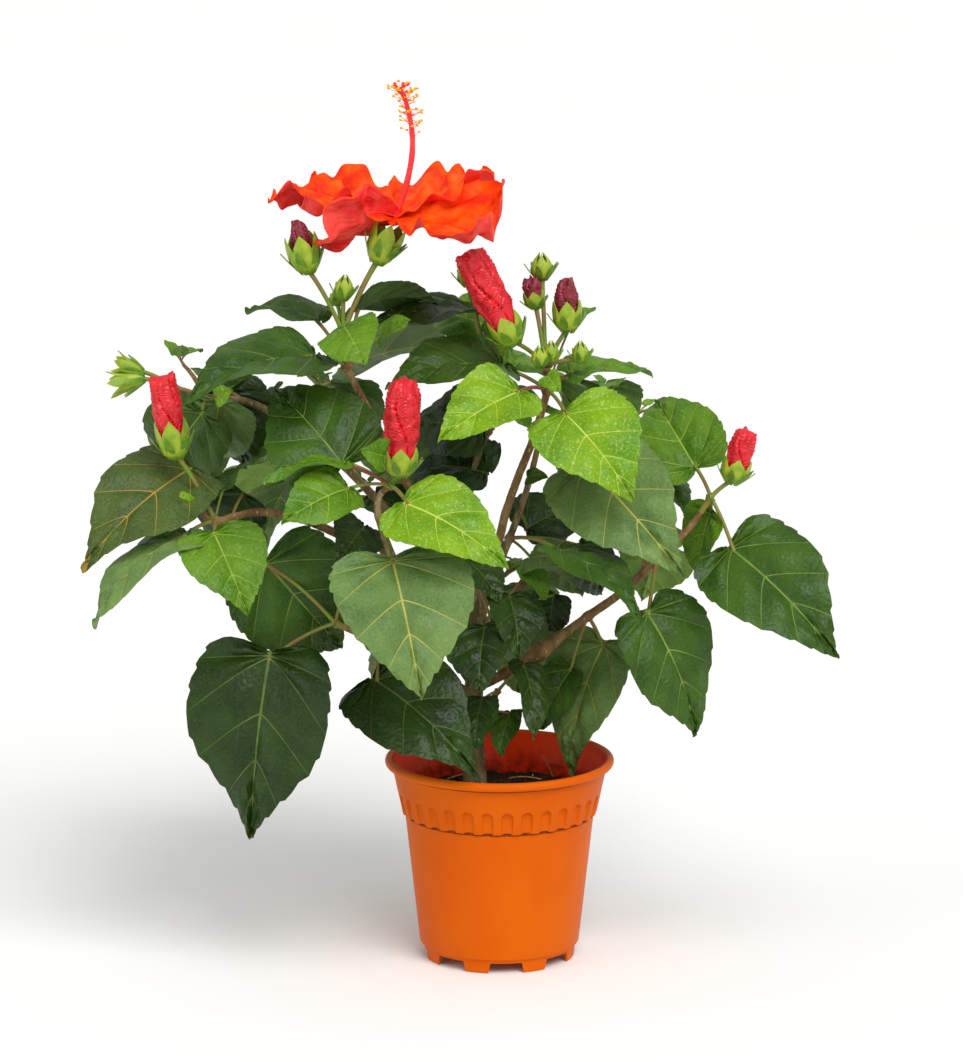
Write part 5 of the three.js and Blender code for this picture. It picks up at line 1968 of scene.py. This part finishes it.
@dataclass(frozen=True)
class Petal:
    """A petal: the way it reaches, its size, and how its margin is waved and curled."""

    heading: float
    pitch: float
    roll: float
    length: float
    width: float
    waves: float
    phase: float
    curl: float
    edge_curl: float


@dataclass(frozen=True)
class Flower:
    """The open flower: five ruffled petals and the long column with its stamens and stigmas."""

    bud: Bud
    petals: tuple[Petal, ...] = (
        Petal(177, 8, -7, 72, 32, 8, 0.4, 0.0, 0.3),
        Petal(162, 10, 18, 55, 62, 7, 1.9, 0.02, 0.1),
        Petal(38, 11, 4, 63, 74, 8, 3.0, 0.02, 0.15),
        Petal(-22, -8, -24, 64, 70, 8, 4.4, 0.05, 0.45),
        Petal(-143, -9, -48, 50, 60, 7, 5.2, 0.04, 0.1),
    )
    rows: int = 60
    columns: int = 81
    row_span: Pair = (0.04, 0.975)
    wall: float = 0.5
    ruffle: float = 0.085
    crumple: float = 6.5
    crumple_mm: float = 15
    scallop: float = 0.018
    ridges: int = 17
    ridge: float = 0.4
    foot: float = 3
    column_steps: int = 60
    column_sides: int = 14
    column_radius: float = 1.8
    column_taper: float = 0.35
    column_ripple: Pair = (0.06, 37)
    column_legs: tuple[Triple, ...] = (
        (0, 68, 18), (0, 77, 18), (0, 86, 12), (180, 84, 11), (180, 76, 12), (180, 64, 7),
    )
    column_root: float = 4
    stamens: int = 72
    stamen_start: float = 0.5
    stamen_run: float = 0.47
    stamen_sag: float = 0.5
    stamen_lengths: Pair = (4.5, 9.0)
    anther_sizes: Pair = (0.6, 0.92)
    stigmas: int = 5
    stigma_rows: int = 9
    stigma_sides: int = 10
    stigma_root: float = 0.96
    stigma_length: float = 6
    stigma_pitch: float = 38
    stigma_profile: Outline = ((0, 0.5), (0.7, 0.4), (0.8, 0.9), (0.92, 1.05), (1, 0.5))
    stamen_pitches: Pair = (-5, 45)
    thread_girths: Triple = (0.2, 0.14, 0.12)
    anther_gap: float = 0.42
    seed: int = 31

    def petal(self, shape: Shape, heart: Array, petal: Petal) -> None:
        """Adds a petal as a thin closed shell.

        Args:
            shape: the piece to add to.
            heart: the flower's heart.
            petal: the petal's form.
        """
        along, out, left = blade_axes(petal.heading, petal.pitch, petal.roll)
        foot = heart - along * self.foot
        blade = Leaf(heart, foot, along, out, left, petal.length, petal.width, LeafTone.YOUNG)
        t = np.linspace(*self.row_span, self.rows)[:, None]
        s = np.linspace(1, -1, self.columns)[None]
        u = (1 - np.cos(math.pi * t)) / 2 + 0 * s
        half = 0.5 * np.sin(math.pi * t) ** 0.8 * (0.35 + 0.9 * t)
        x = half * s * petal.width
        flat = np.stack([u * petal.length, x * 1.3, petal.phase * 40 + 0 * u], axis=-1)
        loose = rough_field(flat, self.crumple_mm, 0.7)
        turn = np.arctan2(x, (u - 0.3) * petal.length)
        margin = np.clip(np.abs(s) ** 2.2 * np.clip(2.2 * u, 0, 1) + u**4, 0, 1)
        lift = petal.length * self.ruffle * margin * np.sin(petal.waves * turn + petal.phase + 2.4 * loose)
        lift += self.crumple * u**1.2 * loose
        lift += 0.4 * self.crumple * margin * rough_field(flat, self.crumple_mm / 2, 3.1)
        lift += petal.curl * petal.length * np.clip(u - 0.55, 0, 1) ** 2 * 4
        lift += petal.edge_curl * petal.width * 0.5 * np.abs(s) ** 3 * u
        ridges = np.abs(np.cos(math.pi * self.ridges / 2 * s))
        lift -= self.ridge * ridges * np.sin(math.pi * t) ** 0.5
        u = u * (1 + self.scallop * margin * np.sin(2.3 * petal.waves * turn + petal.phase))
        upper = blade.point(u, half * s * petal.width, lift)
        faces, places = shell_faces(self.rows, self.columns)
        shape.add(np.stack([upper, upper - out * self.wall]), (faces, places[:, 2] == 1))

    def build(self) -> None:
        """Builds petals, column, stamens and anthers."""
        heart = self.bud.tip()
        shape = Shape()
        for petal in self.petals:
            self.petal(shape, heart, petal)
        settle(shape.to_object("open_petals", [OPEN_PETAL, PETAL_BACK], crease=70), "foliage")
        curve = SmoothPath(walk(heart - self.bud.axis * self.column_root, self.column_legs))
        shape = Shape()
        t = np.linspace(0, 1, self.column_steps + 1)
        ripple, waves = self.column_ripple
        radii = self.column_radius * (1 - self.column_taper * t) * (1 + ripple * np.sin(waves * t))
        shape.add_rings(ring_points(curve.sample(0, 1, self.column_steps), radii, self.column_sides))
        t = np.linspace(0, 1, self.stigma_rows)
        girths = np.interp(t, *np.array(self.stigma_profile).T)
        for i in range(self.stigmas):
            root = curve.at(self.stigma_root)
            tip = root + direction(360 * i / self.stigmas, self.stigma_pitch) * self.stigma_length
            shape.add_rings(ring_points(root + (tip - root) * t[:, None], girths, self.stigma_sides))
        settle(shape.to_object("column", [RED_COLUMN]), "foliage")
        self.build_stamens(curve)

    def build_stamens(self, curve: SmoothPath) -> None:
        """Sets stamens round the upper half of the column.

        Args:
            curve: the column's axis.
        """
        random = np.random.default_rng(self.seed)
        threads = StalkSet("filaments", RED_COLUMN, sides=5)
        anthers = GrainSet("anthers", POLLEN, flatness=0.65)
        for i in range(self.stamens):
            root = curve.at(self.stamen_start + self.stamen_run * ((i + 0.5) / self.stamens) ** 0.6)
            way = direction(GOLDEN_ANGLE * i, random.uniform(*self.stamen_pitches))
            tip = root + way * random.uniform(*self.stamen_lengths)
            middle = (root + tip) / 2 - np.array([0, 0, self.stamen_sag])
            threads.add([root, middle, tip], self.thread_girths)
            for part in (-self.anther_gap, self.anther_gap):
                place = tip + np.cross(way, [0, 0, 1.0]) * part
                anthers.add([place], [random.uniform(*self.anther_sizes)])
        threads.build("foliage")
        anthers.build("foliage")


# Pot and compost


@dataclass(frozen=True)
class Pot:
    """The moulded pot: rolled lip, fluted collar, tapering body and notched foot ring."""

    rim_radius: float = 65
    height: float = 116
    lip_height: float = 5
    lip_bulge: float = 2.15
    lip_angles: Pair = (-112, 168)
    collar_top_radius: float = 61
    collar_foot_radius: float = 55.25
    collar_foot: float = 84
    body_top_radius: float = 53.75
    body_foot_radius: float = 45.35
    ring_height: float = 8
    ring_top_radius: float = 43.6
    ring_foot_radius: float = 42.85
    wall: float = 1.5
    outer_round: float = 0.7
    inner_round: float = 1.0
    floor_underside: float = 7
    pad_radius: float = 12
    pad_draft: float = 2
    flutes: int = 32
    flute_width: float = 6.2
    flute_top: float = 97
    flute_arch: float = 2.3
    flute_floor: float = 0.7
    flute_slope: float = 0.6
    foot_gap: float = 0.5
    crown_rows: Outline = ((-1.2, 1.0), (-0.45, 0.85), (0, 0.3), (0.4, 0.0))
    crown_gap: float = 1.0
    skirt: float = 0.45
    skirt_bevel: Triple = (0.12, 0.1, 0.15)
    undercut: float = 2.2
    scallop: float = 0.9
    groove: float = 1.2
    # Height of the band of painted shade under the lip and under the collar's skirt
    dust: float = 1.1
    flute_turn: float = 4.2
    notches: int = 8
    notch_width: float = 19
    notch_height: float = 6.2
    notch_reach: Pair = (-4.5, 6)
    notch_slant: float = 0.8
    notch_turn: float = 5
    crease: float = 50
    flute_columns: tuple[float, ...] = (-5.6, -4.4, -3.45, -2.85, -2.0, -1.0, 0, 1.0, 2.0, 2.85, 3.45, 4.4)

    def body_radius(self, z: Array | float) -> Array | float:
        """The body's outer radius at a height."""
        share = (z - self.ring_height) / (self.collar_foot - self.ring_height)
        return self.body_foot_radius + (self.body_top_radius - self.body_foot_radius) * share

    def fillet(self, corners: list[Pair], radius: float) -> list[Pair]:
        """Rounds the corners of an open outline.

        Args:
            corners: its points.
            radius: how far from a corner the rounding starts, at most.

        Returns:
            The outline with three points for each inner corner.
        """
        points = [corners[0]]
        for before, corner, after in zip(corners[:-2], corners[1:-1], corners[2:]):
            middle = np.array(corner)
            ends = []
            for other in (before, after):
                gap = np.array(other) - middle
                length = np.linalg.norm(gap)
                ends.append(middle + gap / length * min(radius, 0.4 * length))
            between = 0.25 * ends[0] + 0.5 * middle + 0.25 * ends[1]
            points.extend([tuple(ends[0]), tuple(between), tuple(ends[1])])
        points.append(corners[-1])
        return points

    def columns(self) -> tuple[Array, Array]:
        """Places the columns of the mesh.

        Returns:
            Each column's angle, and how far it is from the middle of its flute.
        """
        pitch = 360 / self.flutes
        offsets = np.array(self.flute_columns)
        span = TURN * (self.collar_foot_radius + self.collar_top_radius) / 2 / self.flutes
        angles = [-90 + self.flute_turn + pitch * i + pitch * offsets / span for i in range(self.flutes)]
        return np.radians(np.concatenate(angles)), np.tile(offsets, self.flutes)

    def collar(self, offsets: Array) -> tuple[Array, Array]:
        """Rows of the fluted collar, from its foot to under the lip.

        Args:
            offsets: how far each column is from the middle of its flute.

        Returns:
            The radius and the height of each point, by row and column.
        """
        half = self.flute_width / 2
        arch = np.sqrt(np.clip(1 - (offsets / half) ** 2, 0, None))
        crown = self.flute_top - self.flute_arch * (1 - arch)
        inside = np.clip((half + self.flute_slope / 2 - np.abs(offsets)) / self.flute_slope, 0, 1)
        lip_foot = self.height - self.lip_height
        foot = self.collar_foot + self.scallop * arch
        rows = [(foot, 1.0), (foot + self.foot_gap, 1.0), ((foot + crown) / 2, 1.0)]
        rows += [(crown + lift, deep) for lift, deep in self.crown_rows]
        level = self.flute_top + self.crown_gap
        plain = (level, (level + lip_foot) / 2, lip_foot - self.dust, lip_foot + self.groove)
        rows += [(np.full_like(foot, z), 0.0) for z in plain]
        heights = np.array([row for row, _ in rows])
        depth = np.array([depth for _, depth in rows])[:, None] * inside[None]
        share = (heights - self.collar_foot) / (lip_foot - self.collar_foot)
        radii = self.collar_foot_radius + (self.collar_top_radius - self.collar_foot_radius) * share
        drop = np.clip(radii - self.body_radius(heights) - self.flute_floor, 0, None)
        radii = radii - depth * drop
        # The skirt's lower edge has a small bevel
        inward, behind_up, front_up = self.skirt_bevel
        behind = np.stack([radii[0] - self.skirt] * 2 + [radii[0] - inward])
        levels = np.stack([np.full_like(foot, self.collar_foot + self.undercut), foot + behind_up, foot])
        heights[0] += front_up
        return np.concatenate([behind, radii]), np.concatenate([levels, heights])

    def notch_cutters(self) -> Piece:
        """Makes the prisms that cut the foot ring: wider below, with slanting sides.

        Returns:
            One object of all prisms.
        """
        shape = Shape()
        low, high = -2.0, self.notch_height
        half_high = self.notch_width / 2
        half_low = half_high + self.notch_slant
        # The prism starts below the floor, and one more point rounds each upper corner
        right = [(half_low, low), (half_low - 0.3, 0.8)]
        right += [(half_high - 0.4, high - 0.7), (half_high - 0.9, high)]
        outline = [(-half_low, low), *right, *((-x, z) for x, z in right[:0:-1])]
        inner, outer = (self.ring_foot_radius + reach for reach in self.notch_reach)
        for i in range(self.notches):
            angle = math.radians(-90 + self.notch_turn + 360 * i / self.notches)
            out = np.array([math.cos(angle), math.sin(angle), 0])
            aside = np.array([-math.sin(angle), math.cos(angle), 0])
            rings = [[out * r + aside * x + np.array([0, 0, z]) for x, z in outline] for r in (inner, outer)]
            shape.add_rings(np.array(rings))
        return shape.to_object("notch_cutters", [ORANGE_PLASTIC, STAINED_GLOW_PLASTIC, PAINTED_SHADE_PLASTIC])

    def build(self) -> None:
        """Builds the pot in place of its solid."""
        angles, offsets = self.columns()
        around = np.column_stack([np.cos(angles), np.sin(angles)])
        lip_foot = self.height - self.lip_height
        floor = self.floor_underside + self.wall
        ring_inside, top = self.ring_foot_radius - self.wall, self.collar_foot - self.dust
        below = [
            (0.4, 0.0), (self.pad_radius, 0.0), (self.pad_radius + self.pad_draft, self.floor_underside),
            (ring_inside, self.floor_underside), (ring_inside, 0.0), (self.ring_foot_radius, 0.0),
            (self.ring_top_radius, self.ring_height), (self.body_foot_radius, self.ring_height + 0.4),
            *((self.body_radius(z), z) for z in (30.0, 57.0, top)),
        ]
        below = self.fillet(below, self.outer_round)
        below.append((self.body_radius(self.collar_foot + self.undercut), self.collar_foot + self.undercut))
        bead = np.radians(np.linspace(*self.lip_angles, 15))
        middle, bulge = self.rim_radius - self.lip_bulge, self.lip_height / 2
        lip = [(self.collar_top_radius + self.skirt, lip_foot + self.groove + 0.2)]
        lip += [(middle + self.lip_bulge * math.cos(a), lip_foot + bulge + bulge * math.sin(a)) for a in bead]
        inside = [(self.collar_top_radius - 0.4, self.height - 1.2)]
        inside += [(self.collar_top_radius - self.wall, lip_foot)]
        inside += [(self.body_radius(z) - self.wall, z) for z in (self.flute_top + 3, 50.0, floor)]
        inside = self.fillet([*inside, (0.4, floor)], self.inner_round)
        radii, heights = self.collar(offsets)
        full = np.ones(len(angles))
        rows = [*below, *zip(radii, heights), *lip, *inside]
        rings = [np.column_stack([around * (r * full)[:, None], z * full]) for r, z in rows]
        shape = Shape()
        gap = np.arange(len(rings) - 1)
        lip_groove = len(below) + len(radii) - 1
        # Slot 2 is painted shade, dull brown in the gaps by the collar's foot and the lip's groove where
        # shadow falls; slot 1, inside the rim, is stained and coloured as painted light coming through the
        # wall
        dusty = (np.abs(gap - len(below) + 1) < 2) | (np.abs(gap - lip_groove) < 2)
        shape.add_rings(np.array(rings), np.where(dusty, 2, gap >= len(rings) - len(inside) - 2))
        piece = shape.to_object("pot_shell", [ORANGE_PLASTIC, STAINED_GLOW_PLASTIC, PAINTED_SHADE_PLASTIC], self.crease)
        cutters = self.notch_cutters()
        cut = piece.modifiers.new("notches", "BOOLEAN")
        cut.object, cut.operation, cut.solver = cutters, "DIFFERENCE", "MANIFOLD"
        keep_result(piece)
        piece.data.set_sharp_from_angle(angle=math.radians(self.crease))
        bpy.data.objects.remove(cutters)
        settle(piece, "orange_plastic", "pot")


@dataclass(frozen=True)
class Compost:
    """The compost, with a crumbly top, crumbs, white grains and a few straws."""

    pot: Pot
    top: float = 93
    foot: float = 8.8
    inset: float = 2.0
    edge_depth: float = 2.0
    hole_radius: float = 1.0
    bare_edge: float = 2.0
    rows: int = 44
    sides: int = 120
    mound: float = 1.8
    mound_reach: float = 15
    bumps: tuple[Triple, ...] = ((1.1, 9, 1.3), (0.7, 3.1, 7.7))
    crumbs: int = 900
    crumb_sizes: Pair = (0.5, 1.7)
    perlites: int = 26
    perlite_sizes: Pair = (0.6, 1.3)
    straw_girth: float = 0.45
    seed: int = 12
    straws: tuple[tuple[Triple, Triple], ...] = (
        ((31, 39, 93.5), (25, 38, 106)),
        ((-30, 30, 94.3), (-12, 41, 94.8)),
        ((6, 33, 94.2), (24, 26, 95.2)),
        ((-38, -12, 94.3), (-27, -30, 94.6)),
        ((10, -34, 94.3), (30, -26, 94.8)),
    )

    def surface(self, x: Array, y: Array) -> Array:
        """The height of the compost's top.

        Args:
            x: how far to the right.
            y: how far to the back.

        Returns:
            The height at each place.
        """
        flat = np.stack([x, y, np.zeros_like(x)], axis=-1)
        rise = self.mound * bell(np.hypot(x - TRUNK.foot[0], y - TRUNK.foot[1]), self.mound_reach)
        height = self.top + rise
        for lift, size, seed in self.bumps:
            height = height + lift * rough_field(flat, size, seed)
        return height

    def build(self) -> None:
        """Builds the compost in place of its solid, and what lies on it."""
        angles = ring_angles(self.sides)
        around = np.column_stack([np.cos(angles), np.sin(angles)])
        edge, base = (self.pot.body_radius(z) - self.inset for z in (self.top, self.foot))
        rings = []
        for radius, z in ((base, self.foot), (edge, self.top - self.edge_depth)):
            rings.append(np.column_stack([around * radius, np.full(self.sides, z)]))
        for radius in np.linspace(edge, self.hole_radius, self.rows):
            x, y = (around * radius).T
            rings.append(np.column_stack([x, y, self.surface(x, y)]))
        shape = Shape()
        shape.add_rings(np.array(rings))
        settle(shape.to_object("compost", [COMPOST], crease=80), "potting_soil", "potting_soil")
        random = np.random.default_rng(self.seed)
        crumbs = GrainSet("compost_crumbs", CRUMB, flatness=0.6, seed=3)
        grains = GrainSet("white_grains", PERLITE, flatness=0.8, seed=5)
        heaps = ((crumbs, self.crumbs, self.crumb_sizes), (grains, self.perlites, self.perlite_sizes))
        for target, count, sizes in heaps:
            for _ in range(count):
                radius = (edge - self.bare_edge) * math.sqrt(random.random())
                angle = random.uniform(0, TURN)
                x, y = radius * np.array([math.cos(angle)]), radius * np.array([math.sin(angle)])
                size = sizes[0] + (sizes[1] - sizes[0]) * random.random() ** 2
                target.add(np.column_stack([x, y, self.surface(x, y)]), [size])
        crumbs.build("potting_soil")
        grains.build("potting_soil")
        straws = StalkSet("straws", STRAW, sides=6)
        for start, end in self.straws:
            path = stalk_path(np.array(start, float), np.array(end, float), 8)
            straws.add(path, [self.straw_girth] * len(path))
        straws.build("potting_soil")


# Studio


@dataclass(frozen=True)
class Studio:
    """The camera of the photograph, a pale floor and soft lights. Places are in metres."""

    camera_place: Triple = (-0.0102, -2.4507, 0.7404)
    camera_pitch: float = 11.4
    focal_pixels: float = 4450
    photo_height: float = 1061
    sensor: float = 36
    floor_half: float = 20
    world: float = 0.6
    sun: float = 2.3
    sun_softness: float = 38
    sun_place: Triple = (0.7, -1.6, 2.1)
    fill: float = 7
    fill_size: float = 1.2
    fill_place: Triple = (-1.9, -1.1, 0.9)
    target: Triple = (0, 0, 0.25)

    def build(self) -> None:
        """Builds floor, lamps, world and camera."""
        half = self.floor_half
        mesh = bpy.data.meshes.new("studio_floor")
        corners = [(-half, -half, 0), (half, -half, 0), (half, half, 0), (-half, half, 0)]
        mesh.from_pydata(corners, [], [(0, 1, 2, 3)])
        mesh.materials.append(STUDIO_FLOOR.material())
        link_object("studio_floor", mesh)
        self.lamp("key_light", "SUN", self.sun_place, energy=self.sun, angle=math.radians(self.sun_softness))
        self.lamp("fill_light", "AREA", self.fill_place, shape="DISK", size=self.fill_size, energy=self.fill)
        world = bpy.data.worlds.new("studio_world")
        world.use_nodes = True
        background = world.node_tree.nodes["Background"]
        background.inputs["Color"].default_value = linear("#FFFFFF")
        background.inputs["Strength"].default_value = self.world
        bpy.context.scene.world = world
        bpy.context.scene.view_settings.view_transform = "Standard"
        camera = bpy.data.cameras.new("photograph_camera")
        camera.sensor_fit = "VERTICAL"
        camera.sensor_height = self.sensor
        camera.lens = self.focal_pixels / self.photo_height * self.sensor
        camera.clip_end = 100
        holder = link_object("photograph_camera", camera)
        holder.location = self.camera_place
        holder.rotation_euler = (math.radians(90 - self.camera_pitch), 0, 0)
        bpy.context.scene.camera = holder

    def lamp(self, name: str, kind: str, place: Triple, **settings: object) -> None:
        """Puts a lamp into the scene, pointing at the target.

        Args:
            name: its name.
            kind: its type.
            place: where it hangs.
            settings: its own properties.
        """
        light = bpy.data.lights.new(name, kind)
        for setting, value in settings.items():
            setattr(light, setting, value)
        holder = link_object(name, light)
        holder.location = place
        holder.rotation_euler = (Vector(self.target) - Vector(place)).to_track_quat("-Z", "Y").to_euler()


def main() -> None:
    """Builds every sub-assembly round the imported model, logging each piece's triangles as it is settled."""
    logging.basicConfig(level=logging.INFO, format="%(message)s", stream=sys.stdout)
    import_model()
    Studio().build()
    pot = Pot()
    pot.build()
    Compost(pot).build()
    plants = GROWTH.grow()
    foliage = Foliage(plants)
    foliage.build()
    Stalks(foliage).build()
    Limbs(plants).build()
    Buds(plants).build()
    Flower(next(bud for plant in plants for bud in plant.buds if bud.row.kind is BudKind.FLOWER)).build()


if __name__ == "__main__":
    main()
